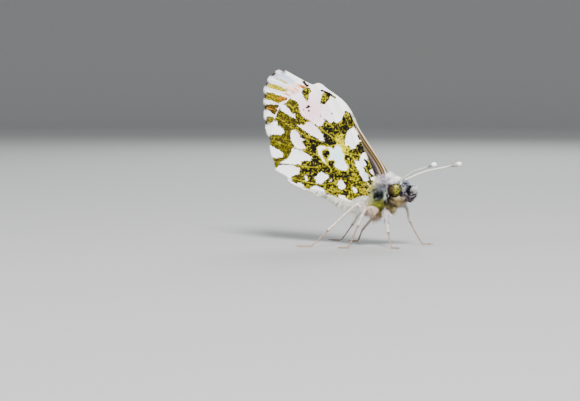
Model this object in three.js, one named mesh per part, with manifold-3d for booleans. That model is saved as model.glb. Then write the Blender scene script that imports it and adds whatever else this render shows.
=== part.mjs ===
// A male orange-tip butterfly at rest with its wings closed, at life size, in millimetres.
//
// +X is forwards, +Y the butterfly's left and +Z up. Every shape is written round the middle of
// the thorax, with its heights above that point. The last lines set the whole down on its feet.

import * as THREE from 'three';
import Module from 'manifold-3d';
import { mergeVertices } from 'three/addons/utils/BufferGeometryUtils.js';

const wasm = await Module();
wasm.setup();
THREE.MathUtils.seededRandom(7);     // the first call sets the seed of all that follow

// ---------------------------------------------------------------- driving dimensions

const STANCE = 7.2;               // height of the thorax's middle above the floor
const MEMBRANE = 0.5;             // thickness of a wing between its veins
const VEIN_RISE = 0.1;            // how far a vein stands out of each face of the membrane
const VEIN_WIDTH = 0.3;           // from a vein's crest to its foot
const SCALLOP = 0.3;              // how far the margin bows out between two vein ends
const CELL_END = 0.5;             // where the cross vein closes the wing's cell, root 0 to margin 1
const CROSS_VEIN = 0.025;         // half the cross vein's width, in the same measure

const FOREWING_SIDE = 0.47;       // middle of the forewing to the body's mid-plane, wings closed
const FOREWING_FLARE = { out: 0.95, reach: 2.0, x: 0.2, z: 1.2 };
const HINDWING_SIDE = 1.42;
const HINDWING_FLARE = { out: 0.85, reach: 2.4, x: 0.0, z: 0.6 };

const EYE = { x: 2.67, z: 0.83, radius: 0.94, inner: 0.72, dome: 0.68 };
const EYE_CLEARANCE = 0.26;

const GAP = 0.22;                 // kept between the hair of one part and the next part
const LOCK = { width: 0.42, thickness: 0.25, sink: 0.35 };

const ANTENNA_RADIUS = 0.25;
const CLUB_RADIUS = 0.4;
const FEMUR_RADIUS = 0.4;
const TIBIA_RADIUS = 0.27;
const TARSUS_RADIUS = 0.25;

// ---------------------------------------------------------------- finishes

const FINISH = {
  wing: { color: 0xf1efea, roughness: 0.75 },
  marbled: { color: 0xc9c79a, roughness: 0.75 },
  hair: { color: 0xd9d7d2, roughness: 0.95 },
  eye: { color: 0x9a9a3c, roughness: 0.3 },
  antenna: { color: 0xd8d6cc, roughness: 0.7 },
  leg: { color: 0xd6c8b4, roughness: 0.75 },
};

// ---------------------------------------------------------------- general shapes

const point = (x, y, z) => new THREE.Vector3(x, y, z);

/** A smooth value through [at, value, value, ...] rows, with the slope of the rows either side. */
function follow(rows, at) {
  const last = rows.length - 1;
  let k = 0;
  while (k < last - 1 && at > rows[k + 1][0]) k += 1;
  const [a, b] = [rows[k], rows[k + 1]];
  const [before, after] = [rows[Math.max(k - 1, 0)], rows[Math.min(k + 2, last)]];
  const span = b[0] - a[0];
  const t = THREE.MathUtils.clamp((at - a[0]) / span, 0, 1);
  return a.slice(1).map((from, n) => {
    const to = b[n + 1];
    const leave = (to - before[n + 1]) / (b[0] - before[0]) * span;
    const arrive = (after[n + 1] - from) / (after[0] - a[0]) * span;
    const t2 = t * t;
    const t3 = t2 * t;
    return (2 * t3 - 3 * t2 + 1) * from + (t3 - 2 * t2 + t) * leave
      + (3 * t2 - 2 * t3) * to + (t3 - t2) * arrive;
  });
}

/** A closed geometry from points and triangles: equal points become one, faces point outwards. */
function closedGeometry(points, triangles) {
  const raw = new THREE.BufferGeometry().setFromPoints(points);
  raw.setIndex(triangles.flat());
  const merged = mergeVertices(raw, 1e-4);
  const at = (n) => new THREE.Vector3().fromBufferAttribute(merged.attributes.position, n);
  const kept = [];
  let volume = 0;
  for (let n = 0; n < merged.index.count; n += 3) {
    const [a, b, c] = [0, 1, 2].map((corner) => merged.index.getX(n + corner));
    if (a === b || b === c || c === a) continue;
    kept.push([a, b, c]);
    volume += at(a).dot(at(b).cross(at(c)));
  }
  merged.setIndex((volume < 0 ? kept.map(([a, b, c]) => [a, c, b]) : kept).flat());
  return merged;
}

/** One of three's own shapes, made closed in the same way. */
function sealed(geometry) {
  const at = geometry.attributes.position;
  const points = Array.from({ length: at.count }, (_, n) => new THREE.Vector3().fromBufferAttribute(at, n));
  const starts = Array.from({ length: geometry.index.count / 3 }, (_, n) => 3 * n);
  const triangles = starts.map((n) => [0, 1, 2].map((corner) => geometry.index.getX(n + corner)));
  return closedGeometry(points, triangles);
}

/** A skin over rings of equal count, drawn to a point beyond the first ring and the last. */
function loft(first, rings, last) {
  const sides = rings[0].length;
  const points = [first, ...rings.flat(), last];
  const lastIndex = points.length - 1;
  const triangles = [];
  for (let i = 0; i < sides; i += 1) {
    const next = (i + 1) % sides;
    triangles.push([0, 1 + next, 1 + i]);
    for (let r = 0; r < rings.length - 1; r += 1) {
      const [a, b] = [1 + r * sides, 1 + (r + 1) * sides];
      triangles.push([a + i, a + next, b + next], [a + i, b + next, b + i]);
    }
    const top = 1 + (rings.length - 1) * sides;
    triangles.push([lastIndex, top + i, top + next]);
  }
  return closedGeometry(points, triangles);
}

/** A round limb along a curve; radiusAt(t) tells its radius. Nothing of it goes below the floor. */
function limb(curve, radiusAt, steps, sides) {
  const frames = curve.computeFrenetFrames(steps, false);
  const floor = -STANCE;
  const rings = [];
  for (let s = 0; s <= steps; s += 1) {
    const t = s / steps;
    const centre = curve.getPointAt(t);
    const ring = [];
    for (let i = 0; i < sides; i += 1) {
      const turn = 2 * Math.PI * i / sides;
      const spoke = frames.normals[s].clone().multiplyScalar(Math.cos(turn));
      spoke.addScaledVector(frames.binormals[s], Math.sin(turn));
      const rim = centre.clone().addScaledVector(spoke, radiusAt(t));
      rim.z = Math.max(rim.z, floor);
      ring.push(rim);
    }
    rings.push(ring);
  }
  const cap = (t, way) => {
    return curve.getPointAt(t).addScaledVector(curve.getTangentAt(t), way * radiusAt(t) * 0.5);
  };
  return loft(cap(0, -1), rings, cap(1, 1));
}

/** A path through joints, drawn straight between them and rounded off close to each. */
function jointedCurve(joints) {
  const points = [joints[0]];
  for (let k = 0; k < joints.length - 1; k += 1) {
    for (const share of [0.12, 0.88]) points.push(joints[k].clone().lerp(joints[k + 1], share));
  }
  points.push(joints[joints.length - 1]);
  return new THREE.CatmullRomCurve3(points, false, 'centripetal');
}

/** The point of a trunk at distance x along it and a turn from its back, 0, to its belly, pi. */
function trunkPoint({ stations, narrowing }, x, turn) {
  const [middle, high, wide] = follow(stations, x);
  const side = wide * Math.sin(turn) * (1 - narrowing * Math.cos(turn));
  return point(x, side, middle + high * Math.cos(turn));
}

/** A body lofted along X, drawn to a point at its first station and its last. */
function trunkGeometry(trunk, steps, sides) {
  const { stations } = trunk;
  const [start, end] = [stations[0], stations[stations.length - 1]];
  const rings = [];
  for (let s = 1; s < steps; s += 1) {
    const x = THREE.MathUtils.lerp(start[0], end[0], (1 - Math.cos(Math.PI * s / steps)) / 2);
    rings.push(Array.from({ length: sides }, (_, i) => trunkPoint(trunk, x, 2 * Math.PI * i / sides)));
  }
  return loft(point(start[0], 0, start[1]), rings, point(end[0], 0, end[1]));
}

function toManifold(geometry) {
  return new wasm.Manifold(new wasm.Mesh({
    numProp: 3,
    vertProperties: geometry.attributes.position.array,
    triVerts: Uint32Array.from(geometry.index.array),
  }));
}

function fromManifold(solid) {
  const pieces = solid.decompose();
  const largest = pieces.reduce((best, piece) => (piece.volume() > best.volume() ? piece : best));
  const mesh = largest.getMesh();
  const geometry = new THREE.BufferGeometry();
  geometry.setAttribute('position', new THREE.BufferAttribute(mesh.vertProperties, 3));
  geometry.setIndex(new THREE.BufferAttribute(mesh.triVerts, 1));
  return geometry;
}

// ---------------------------------------------------------------- locks of hair

/** A flat, tapered lock, rooted below the surface at `at` and bent over to lie along `lie`. */
function lockCurve({ at, out, lie, length }) {
  const root = at.clone().addScaledVector(out, -LOCK.sink);
  const bend = at.clone().addScaledVector(out, length * 0.12).addScaledVector(lie, length * 0.35);
  return new THREE.QuadraticBezierCurve3(root, bend, at.clone().addScaledVector(lie, length));
}

function lockGeometry(lock) {
  const curve = lockCurve(lock);
  const across = lock.out.clone().cross(lock.lie).normalize();
  const rings = [[0.02, 0.85], [0.4, 1], [0.72, 0.62]].map(([t, share]) => {
    const centre = curve.getPoint(t);
    const through = curve.getTangent(t).cross(across).normalize();
    const wide = across.clone().multiplyScalar(LOCK.width * share);
    const thick = through.multiplyScalar(LOCK.thickness * share);
    return [wide, thick, wide.clone().negate(), thick.clone().negate()].map((way) => way.add(centre));
  });
  return loft(curve.getPoint(0), rings, curve.getPoint(1));
}

/** Balls strung along a limb, as [centre, radius], for hair to keep clear of. */
function ballsAlong(curve, radiusAt) {
  const shares = Array.from({ length: 41 }, (_, n) => n / 40);
  return shares.map((t) => [curve.getPointAt(t), radiusAt(t)]);
}

function isClear(lock, balls) {
  const curve = lockCurve(lock);
  return [0.45, 0.6, 0.75, 0.9, 1].every((t) => {
    const centre = curve.getPoint(t);
    const half = LOCK.width * 0.8 * (1.15 - t);
    return balls.every(([ball, radius]) => centre.distanceTo(ball) > radius + half + GAP);
  });
}

/**
 * Joins locks to a part's core: each that is clear of the balls, cut shorter if it must be. The
 * locks that grew become balls themselves, for the hair of the next part.
 */
function coated(core, locks, balls) {
  let solid = toManifold(core);
  const grown = [];
  for (const lock of locks) {
    const fitting = [1, 0.85, 0.7, 0.55].map((share) => ({ ...lock, length: lock.length * share }))
      .find((shorter) => isClear(shorter, balls));
    if (!fitting) continue;
    solid = solid.add(toManifold(lockGeometry(fitting)));
    const curve = lockCurve(fitting);
    for (const t of [0.5, 0.75, 1]) grown.push([curve.getPoint(t), LOCK.width * (1.1 - t)]);
  }
  balls.push(...grown);
  return fromManifold(solid);
}

const jitter = (amount) => amount * (2 * THREE.MathUtils.seededRandom() - 1);

/**
 * Rows of locks over a surface, where surface(u, turn) gives a point. The locks of a row lie along
 * the body (lean, forwards above 0), down it (droop) and away from it (lift).
 */
function rowsOfLocks(surface, rows) {
  return rows.flatMap(({ u, from, to, count, length, lean, droop, lift }) => {
    const shares = Array.from({ length: count }, (_, n) => (n + 0.5) / count);
    return shares.map((share) => {
      const place = u + jitter(0.06);
      const turn = THREE.MathUtils.lerp(from, to, share) + jitter(0.06);
      const along = surface(place + 0.05, turn).sub(surface(place - 0.05, turn)).normalize();
      const round = surface(place, turn + 0.05).sub(surface(place, turn - 0.05)).normalize();
      const out = along.clone().cross(round).normalize();
      const down = point(0, 0, -1).addScaledVector(out, out.z);
      const lie = along.multiplyScalar(lean + jitter(0.12)).addScaledVector(down, droop)
        .addScaledVector(out, lift + jitter(0.08)).normalize();
      return { at: surface(place, turn), out, lie, length: length * (1 + jitter(0.12)) };
    });
  });
}

// ---------------------------------------------------------------- wings

// Each line runs from the root (0) to the margin (1), as [how far, x, height]. A line that
// branches follows its stem first; one that meets its neighbour runs on along it.

const FOREWING_RADIUS = [
  [0, 0.6, 2.05], [0.3, -3.0, 7.2], [0.5, -6.2, 11.0], [0.75, -9.9, 14.3], [1, -15.0, 17.4],
];
const FOREWING_CUBITUS = [[0, 0.25, 1.7], [0.3, -4.2, 5.6], [0.42, -6.6, 7.4], [0.5, -8.2, 8.8]];
const FOREWING_COSTA = [
  [0, 0.95, 2.4], [0.05, 0.95, 3.4], [0.3, -2.0, 8.1], [0.55, -5.2, 12.8], [0.72, -8.1, 15.0],
  [1, -13.9, 17.5],
];

const FOREWING = {
  side: FOREWING_SIDE,
  flare: FOREWING_FLARE,
  lines: [
    { own: FOREWING_COSTA },
    {
      own: [[0, 0.78, 2.2], [0.3, -2.6, 7.6], [0.6, -6.6, 12.7], [0.8, -9.4, 15.2]],
      meets: 0,
      meetsAt: 0.8,
    },
    { own: FOREWING_RADIUS },
    {
      own: [[0.6, -7.6, 12.4], [0.8, -11.6, 14.2], [1, -16.7, 15.8]],
      stem: FOREWING_RADIUS,
      leaves: 0.6,
    },
    {
      own: [[0, 0.4, 1.9], [0.3, -3.6, 6.4], [0.5, -7.4, 9.9], [0.75, -11.7, 12.1], [1, -17.0, 14.0]],
      hiddenTo: CELL_END,
    },
    {
      own: [[0.5, -8.2, 8.8], [0.75, -12.1, 10.7], [1, -17.0, 12.2]],
      stem: FOREWING_CUBITUS,
      leaves: 0.5,
    },
    {
      own: [[0.42, -6.6, 7.4], [0.7, -11.2, 8.7], [1, -16.9, 10.1]],
      stem: FOREWING_CUBITUS,
      leaves: 0.42,
    },
    {
      own: [[0.3, -4.2, 5.6], [0.65, -9.8, 6.6], [1, -16.3, 7.9]],
      stem: FOREWING_CUBITUS,
      leaves: 0.3,
    },
    { own: [[0, 0.05, 1.5], [0.4, -5.2, 3.5], [1, -14.9, 5.5]] },
    { own: [[0, -0.1, 1.35], [0.15, -2.0, 2.3], [0.5, -7.4, 2.9], [1, -14.0, 4.75]] },
  ],
  cell: [2, 5],
};

const HINDWING_RADIUS = [
  [0, -0.4, 0.6], [0.22, -2.4, 2.7], [0.5, -4.8, 7.0], [0.75, -6.6, 10.9], [1, -9.4, 15.6],
];
const HINDWING_CUBITUS = [[0, -0.5, 0.1], [0.28, -4.4, 2.1], [0.42, -7.2, 4.0], [0.5, -8.6, 5.4]];
const HINDWING_COSTA = [[0, -0.2, 2.2], [0.33, -2.3, 7.1], [0.68, -4.8, 12.5], [1, -8.3, 15.4]];

const HINDWING = {
  side: HINDWING_SIDE,
  flare: HINDWING_FLARE,
  lines: [
    { own: HINDWING_COSTA },
    {
      own: [[0, -0.35, 1.3], [0.3, -2.6, 5.5], [0.66, -4.9, 11.0], [0.9, -7.2, 14.3]],
      meets: 0,
      meetsAt: 0.9,
    },
    { own: HINDWING_RADIUS },
    {
      own: [[0.5, -4.8, 7.0], [0.62, -7.1, 8.3], [0.8, -10.3, 10.6], [1, -13.9, 12.9]],
      stem: HINDWING_RADIUS,
      leaves: 0.5,
    },
    {
      own: [[0, -0.45, 0.35], [0.25, -3.1, 2.3], [0.5, -7.2, 6.8], [0.7, -10.7, 8.2], [1, -15.4, 10.9]],
      hiddenTo: CELL_END,
    },
    {
      own: [[0.5, -8.6, 5.4], [0.7, -11.6, 6.3], [1, -16.2, 7.6]],
      stem: HINDWING_CUBITUS,
      leaves: 0.5,
    },
    {
      own: [[0.42, -7.2, 4.0], [0.6, -9.8, 3.8], [1, -15.6, 4.5]],
      stem: HINDWING_CUBITUS,
      leaves: 0.42,
    },
    {
      own: [[0.3, -4.6, 2.2], [0.6, -8.4, 1.4], [1, -13.5, 2.25]],
      stem: HINDWING_CUBITUS,
      leaves: 0.3,
    },
    { own: [[0, -0.5, -0.4], [0.35, -3.6, -1.1], [0.7, -7.3, 0.2], [1, -11.2, 1.0]] },
    { own: [[0, -0.5, -0.9], [0.2, -1.9, -1.85], [0.42, -3.9, -1.75], [0.75, -7.2, -0.45], [1, -9.9, 0.5]] },
  ],
  cell: [2, 5],
};

// Rings across the wing: the branch points and the cross vein each fall on one.
const RINGS = [
  0, 0.1, 0.2, 0.3, 0.42, CELL_END - CROSS_VEIN, CELL_END, CELL_END + CROSS_VEIN, 0.6, 0.7, 0.8, 0.9, 1,
];

/** Where a wing's line is at distance v along it, as [x, height]. */
function lineAt(wing, k, v) {
  const line = wing.lines[k];
  if (line.stem && v <= line.leaves) return follow(line.stem, v);
  if (line.meets !== undefined && v >= line.meetsAt) return lineAt(wing, line.meets, v);
  return follow(line.own, v);
}

/** How far out from the body's mid-plane the middle of the wing is at (x, height). */
function wingSide(wing, x, z) {
  const { out, reach, x: fromX, z: fromZ } = wing.flare;
  const distance = Math.hypot(x - fromX, z - fromZ);
  return wing.side + out * Math.exp(-((distance / reach) ** 2));
}

/** Balls through both wings of a kind, near enough together that no lock fits between. */
function wingBalls(wing) {
  const balls = [];
  for (let v = 0; v <= 1; v += 0.025) {
    for (let k = 0; k < wing.lines.length; k += 1) {
      const [x, z] = lineAt(wing, k, v);
      const side = wingSide(wing, x, z);
      for (const sign of [-1, 1]) balls.push([point(x, sign * side, z), MEMBRANE / 2 + VEIN_RISE]);
    }
  }
  return balls;
}

/** The columns of one ring: vein crests, the vein feet each side, and the membrane between. */
function ringColumns(wing, v) {
  const count = wing.lines.length;
  const [upper, lower] = wing.cell;
  const onCrossVein = Math.abs(v - CELL_END) < 1e-6;
  const crests = wing.lines.map((line, k) => lineAt(wing, k, v));
  const rise = VEIN_RISE * (1 - 0.7 * v * v);
  const columns = [];
  for (let k = 0; k < count; k += 1) {
    const shown = v >= (wing.lines[k].hiddenTo ?? 0);
    columns.push([...crests[k], shown ? rise : 0]);
    if (k === count - 1) break;
    const [x, z] = crests[k];
    const [nextX, nextZ] = crests[k + 1];
    const gap = Math.hypot(nextX - x, nextZ - z);
    const joined = gap < 1e-6;
    const foot = joined ? 0 : Math.min(VEIN_WIDTH / gap, 0.3);
    const between = joined || (onCrossVein && k >= upper && k < lower) ? rise : 0;
    const bow = joined ? 0 : SCALLOP * v ** 12 * Math.min(gap / 2, 1) / gap;
    for (const share of [foot, 0.5, 1 - foot]) {
      const along = joined ? 0 : share;
      const out = share === 0.5 ? bow : bow * 0.35;
      columns.push([
        x + (nextX - x) * along + (nextZ - z) * out,
        z + (nextZ - z) * along - (nextX - x) * out,
        between,
      ]);
    }
  }
  return columns;
}

/** A wing as one closed sheet with the same triangles on both faces. sign: -1 right, 1 left. */
function wingGeometry(wing, sign) {
  const rings = RINGS.map((v) => ringColumns(wing, v));
  const [rows, width] = [rings.length, rings[0].length];
  const points = [];
  for (const face of [-1, 1]) {
    for (const ring of rings) {
      for (const [x, z, rise] of ring) {
        const side = wingSide(wing, x, z) + face * (MEMBRANE / 2 + rise);
        points.push(point(x, sign * side, z));
      }
    }
  }
  const index = (face, r, c) => face * rows * width + r * width + c;
  const triangles = [];
  for (let r = 0; r < rows - 1; r += 1) {
    for (let c = 0; c < width - 1; c += 1) {
      for (const face of [0, 1]) {
        const [a, b] = [index(face, r, c), index(face, r, c + 1)];
        const [d, e] = [index(face, r + 1, c + 1), index(face, r + 1, c)];
        triangles.push(...(face ? [[a, b, d], [a, d, e]] : [[a, d, b], [a, e, d]]));
      }
    }
  }
  const edge = [];
  for (let c = 0; c < width - 1; c += 1) edge.push([0, c]);
  for (let r = 0; r < rows - 1; r += 1) edge.push([r, width - 1]);
  for (let c = width - 1; c > 0; c -= 1) edge.push([rows - 1, c]);
  for (let r = rows - 1; r > 0; r -= 1) edge.push([r, 0]);
  edge.forEach(([r, c], n) => {
    const [nextR, nextC] = edge[(n + 1) % edge.length];
    const [a, b] = [index(0, r, c), index(0, nextR, nextC)];
    const [d, e] = [index(1, nextR, nextC), index(1, r, c)];
    triangles.push([a, b, d], [a, d, e]);
  });
  return closedGeometry(points, triangles);
}

// ---------------------------------------------------------------- body

// Each station is [x, middle height, half height, half width].
const THORAX = {
  stations: [
    [-2.8, -0.8, 0, 0], [-2.4, -0.75, 0.85, 0.75], [-1.7, -0.5, 1.35, 1.15], [-0.7, -0.2, 1.85, 1.42],
    [0.3, 0.05, 2.05, 1.5], [0.9, 0.1, 1.95, 1.4], [1.35, -0.1, 1.6, 1.15], [1.75, -0.75, 0.85, 0.75],
    [2.2, -1.15, 0.45, 0.45], [2.5, -1.3, 0, 0],
  ],
  narrowing: 0.2,
};

const HEAD = { x: 2.95, z: 0.62, long: 1.2, wide: 1.15, high: 1.15 };

const ABDOMEN = {
  root: point(-3.1, 0, -0.35),
  tail: point(-10.0, 0, 2.2),
  droop: 0.25,
  radius: [[0, 0.62], [0.12, 0.84], [0.4, 0.9], [0.75, 0.72], [1, 0.3]],
  segments: 8,
};

const PALP = {
  path: [[4.1, 0.5, -0.75], [4.65, 0.52, -0.4], [4.9, 0.52, 0.3], [4.8, 0.48, 1.0]],
  root: 0.4,
  tip: 0.24,
};

/** A point of the head: along is 0 at the neck and 1 at the brow, turn as on a trunk. */
function headPoint(along, turn) {
  const polar = Math.PI * (1 - along);
  const round = Math.sin(polar);
  return point(
    HEAD.x + HEAD.long * Math.cos(polar),
    HEAD.wide * round * Math.sin(turn),
    HEAD.z + HEAD.high * round * Math.cos(turn),
  );
}

/** The head, with a round hollow each side that the eye sits in. */
function headGeometry() {
  const skull = new THREE.SphereGeometry(1, 20, 14);
  skull.scale(HEAD.long, HEAD.wide, HEAD.high);
  skull.translate(HEAD.x, 0, HEAD.z);
  const width = EYE.radius + EYE_CLEARANCE;
  let solid = toManifold(sealed(skull));
  for (const sign of [-1, 1]) {
    const hollow = new THREE.CylinderGeometry(width, width, HEAD.wide * 2, 24);
    hollow.translate(EYE.x, sign * (EYE.inner - EYE_CLEARANCE + HEAD.wide), EYE.z);
    solid = solid.subtract(toManifold(sealed(hollow)));
  }
  return fromManifold(solid);
}

/** An eye: a dome on a flat disc that faces the head. */
function eyeGeometry(sign) {
  const bands = 6;
  const rim = Array.from({ length: bands }, (_, n) => {
    const rise = Math.PI / 2 * n / bands;
    return new THREE.Vector2(EYE.radius * Math.cos(rise), EYE.dome * Math.sin(rise));
  });
  const profile = [new THREE.Vector2(0, 0), ...rim, new THREE.Vector2(0, EYE.dome)];
  const eye = new THREE.LatheGeometry(profile, 18);
  eye.rotateX(sign > 0 ? 0 : Math.PI);
  eye.translate(EYE.x, sign * EYE.inner, EYE.z);
  return sealed(eye);
}

function abdomenCurve() {
  const { root, tail, droop } = ABDOMEN;
  const middle = root.clone().lerp(tail, 0.5);
  middle.z -= droop;
  return new THREE.CatmullRomCurve3([root, middle, tail]);
}

/** The abdomen's radius, drawn in a little between one segment and the next. */
function abdomenRadius(t) {
  const swell = Math.abs(Math.sin(Math.PI * ABDOMEN.segments * t));
  return follow(ABDOMEN.radius, t)[0] * (0.95 + 0.05 * swell);
}

function palpCurve(sign) {
  return new THREE.CatmullRomCurve3(PALP.path.map(([x, y, z]) => point(x, sign * y, z)));
}

const palpRadius = (t) => THREE.MathUtils.lerp(PALP.root, PALP.tip, t);

/** The surface of a limb that stays near the body's mid-plane, for rows of locks. */
const limbSurface = (curve, radiusAt) => (along, turn) => {
  const t = THREE.MathUtils.clamp(along, 0, 1);
  const ahead = curve.getTangentAt(t);
  const up = ahead.clone().cross(point(0, 1, 0)).normalize();
  const left = up.clone().cross(ahead);
  return curve.getPointAt(t).addScaledVector(up, radiusAt(t) * Math.cos(turn))
    .addScaledVector(left, radiusAt(t) * Math.sin(turn))
    .addScaledVector(ahead, along - t);
};

// ---------------------------------------------------------------- antennae and legs

const ANTENNAE = {
  right: [[3.15, -0.5, 2.06], [3.84, -0.9, 2.55], [5.48, -1.9, 3.5], [7.13, -2.9, 4.01], [9.15, -4.3, 4.68]],
  left: [[3.15, 0.5, 2.06], [3.9, 1.05, 2.38], [5.66, 2.5, 3.22], [7.9, 4.5, 3.77], [10.1, 6.3, 4.3]],
};
const ANTENNA_PROFILE = [
  [0, ANTENNA_RADIUS], [0.82, ANTENNA_RADIUS], [0.9, CLUB_RADIUS * 0.9], [0.96, CLUB_RADIUS],
  [1, CLUB_RADIUS * 0.6],
];
const antennaCurve = (side) => new THREE.CatmullRomCurve3(ANTENNAE[side].map((row) => point(...row)));
const antennaRadius = (t) => follow(ANTENNA_PROFILE, t)[0];

// Joints of each leg, hip first: the femur, the tibia, then the tarsus, laid along the floor.
const SOLE = 0.17 - STANCE;
const LEGS = {
  leg_fore_right: [
    [1.05, -0.95, -2.15], [1.65, -2.0, -3.7], [2.05, -2.7, -5.1], [2.6, -3.15, SOLE], [3.7, -3.6, SOLE],
  ],
  leg_fore_left: [
    [1.75, 0.95, -1.65], [3.35, 1.5, -1.45], [3.75, 2.3, -3.9], [5.3, 3.3, SOLE], [6.4, 3.8, SOLE],
  ],
  leg_mid_right: [
    [0.1, -1.15, -2.35], [-1.2, -3.0, -1.75], [-1.95, -4.2, -4.1], [-3.0, -5.1, SOLE], [-4.1, -5.5, SOLE],
  ],
  leg_mid_left: [
    [0.1, 1.15, -2.35], [-1.6, 2.1, -3.3], [-3.6, 3.3, -5.2], [-4.6, 4.2, SOLE], [-5.8, 4.6, SOLE],
  ],
  leg_hind_right: [
    [-1.45, -1.05, -2.35], [-1.8, -2.25, -2.45], [-2.4, -2.95, -1.0], [-6.25, -4.2, -4.8], [-8.5, -5.0, SOLE],
    [-10.3, -5.4, SOLE],
  ],
  leg_hind_left: [
    [-1.45, 1.05, -2.35], [-1.8, 2.25, -2.45], [-3.0, 2.95, -1.5], [-5.4, 4.3, -4.6], [-7.4, 5.0, SOLE],
    [-9.2, 5.4, SOLE],
  ],
};

const legJoints = (name) => LEGS[name].map((row) => point(...row));

/** A leg's radius along it: the femur thins to the knee, and the tibia ends at the ankle. */
function legRadius(joints) {
  const lengths = joints.slice(1).map((joint, k) => joint.distanceTo(joints[k]));
  const reach = (count) => lengths.slice(0, count).reduce((sum, length) => sum + length, 0);
  const whole = reach(lengths.length);
  const knee = reach(lengths.length - 3) / whole;
  const ankle = reach(lengths.length - 2) / whole;
  return (t) => {
    if (t < knee) return THREE.MathUtils.lerp(FEMUR_RADIUS, TIBIA_RADIUS, t / knee);
    return t < ankle ? TIBIA_RADIUS : TARSUS_RADIUS;
  };
}

function legGeometry(name) {
  const joints = legJoints(name);
  return limb(jointedCurve(joints), legRadius(joints), 22, 8);
}

// ---------------------------------------------------------------- the coat

const degrees = THREE.MathUtils.degToRad;
const BACK = 0;
const BELLY = degrees(180);

const THORAX_ROWS = [
  { u: -2.0, from: BELLY - 1.0, to: BELLY + 1.0, count: 5, length: 1.0, lean: -1.0, droop: 0.2, lift: 0.3 },
  { u: -1.5, from: BELLY - 1.2, to: BELLY + 1.2, count: 7, length: 1.0, lean: -1.0, droop: 0.3, lift: 0.3 },
  { u: -1.0, from: BELLY - 1.3, to: BELLY + 1.3, count: 8, length: 1.0, lean: -0.9, droop: 0.4, lift: 0.3 },
  { u: -0.5, from: BELLY - 1.4, to: BELLY + 1.4, count: 9, length: 1.0, lean: -0.9, droop: 0.5, lift: 0.3 },
  { u: 0.0, from: BELLY - 1.5, to: BELLY + 1.5, count: 10, length: 1.0, lean: -0.8, droop: 0.6, lift: 0.35 },
  { u: 0.45, from: BELLY - 2.1, to: BELLY + 2.1, count: 13, length: 1.1, lean: -0.6, droop: 0.8, lift: 0.4 },
  { u: 0.9, from: BELLY - 2.4, to: BELLY + 2.4, count: 13, length: 1.1, lean: -0.3, droop: 1.0, lift: 0.45 },
  { u: 1.3, from: BELLY - 2.2, to: BELLY + 2.2, count: 11, length: 1.1, lean: 0.0, droop: 1.0, lift: 0.45 },
  { u: 1.65, from: BELLY - 1.8, to: BELLY + 1.8, count: 8, length: 1.1, lean: 0.2, droop: 1.0, lift: 0.5 },
  { u: 2.0, from: BELLY - 1.6, to: BELLY + 1.6, count: 5, length: 1.0, lean: 0.6, droop: 0.8, lift: 0.5 },
  { u: 2.3, from: BELLY - 1.5, to: BELLY + 1.5, count: 3, length: 0.9, lean: 1.0, droop: 0.3, lift: 0.5 },
  { u: 0.65, from: BACK - 0.9, to: BACK + 0.9, count: 5, length: 1.3, lean: 0.8, droop: 0, lift: 0.7 },
  { u: 1.05, from: BACK - 1.1, to: BACK + 1.1, count: 5, length: 1.3, lean: 0.8, droop: 0, lift: 0.7 },
];
const HEAD_ROWS = [
  { u: 0.4, from: BACK - 0.5, to: BACK + 0.5, count: 3, length: 0.8, lean: 1.0, droop: 0, lift: 0.6 },
  { u: 0.58, from: BACK - 0.5, to: BACK + 0.5, count: 3, length: 0.8, lean: 1.0, droop: 0, lift: 0.6 },
  { u: 0.72, from: BACK - 1.3, to: BACK + 1.3, count: 6, length: 0.8, lean: 0.9, droop: 0.2, lift: 0.5 },
  { u: 0.83, from: BACK - 2.2, to: BACK + 2.2, count: 8, length: 0.75, lean: 0.7, droop: 0.4, lift: 0.5 },
  { u: 0.93, from: BACK - 2.8, to: BACK + 2.8, count: 5, length: 0.75, lean: 0.5, droop: 0.5, lift: 0.5 },
  { u: 0.3, from: BELLY - 0.7, to: BELLY + 0.7, count: 3, length: 0.75, lean: 0.6, droop: 0.3, lift: 0.4 },
  { u: 0.47, from: BELLY - 0.8, to: BELLY + 0.8, count: 4, length: 0.75, lean: 0.7, droop: 0.3, lift: 0.4 },
  { u: 0.63, from: BELLY - 0.8, to: BELLY + 0.8, count: 4, length: 0.75, lean: 0.8, droop: 0.3, lift: 0.4 },
];
const PALP_ROWS = [
  { u: 0.1, from: BELLY - 1.6, to: BELLY + 1.6, count: 3, length: 0.6, lean: 1.0, droop: 0.2, lift: 0.3 },
  { u: 0.35, from: BELLY - 1.8, to: BELLY + 1.8, count: 4, length: 0.6, lean: 1.0, droop: 0, lift: 0.4 },
  { u: 0.65, from: BELLY - 2.2, to: BELLY + 2.2, count: 4, length: 0.6, lean: 1.0, droop: 0, lift: 0.4 },
];
const ABDOMEN_ROWS = [
  { u: 0.03, from: BELLY - 1.2, to: BELLY + 1.2, count: 5, length: 1.0, lean: 1.0, droop: 0.2, lift: 0.2 },
  { u: 0.1, from: BELLY - 1.0, to: BELLY + 1.0, count: 4, length: 1.0, lean: 1.0, droop: 0.2, lift: 0.2 },
  { u: 0.18, from: BELLY - 0.9, to: BELLY + 0.9, count: 4, length: 1.0, lean: 1.0, droop: 0.1, lift: 0.2 },
  { u: 0.26, from: BELLY - 0.8, to: BELLY + 0.8, count: 3, length: 0.9, lean: 1.0, droop: 0.1, lift: 0.2 },
];

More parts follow.
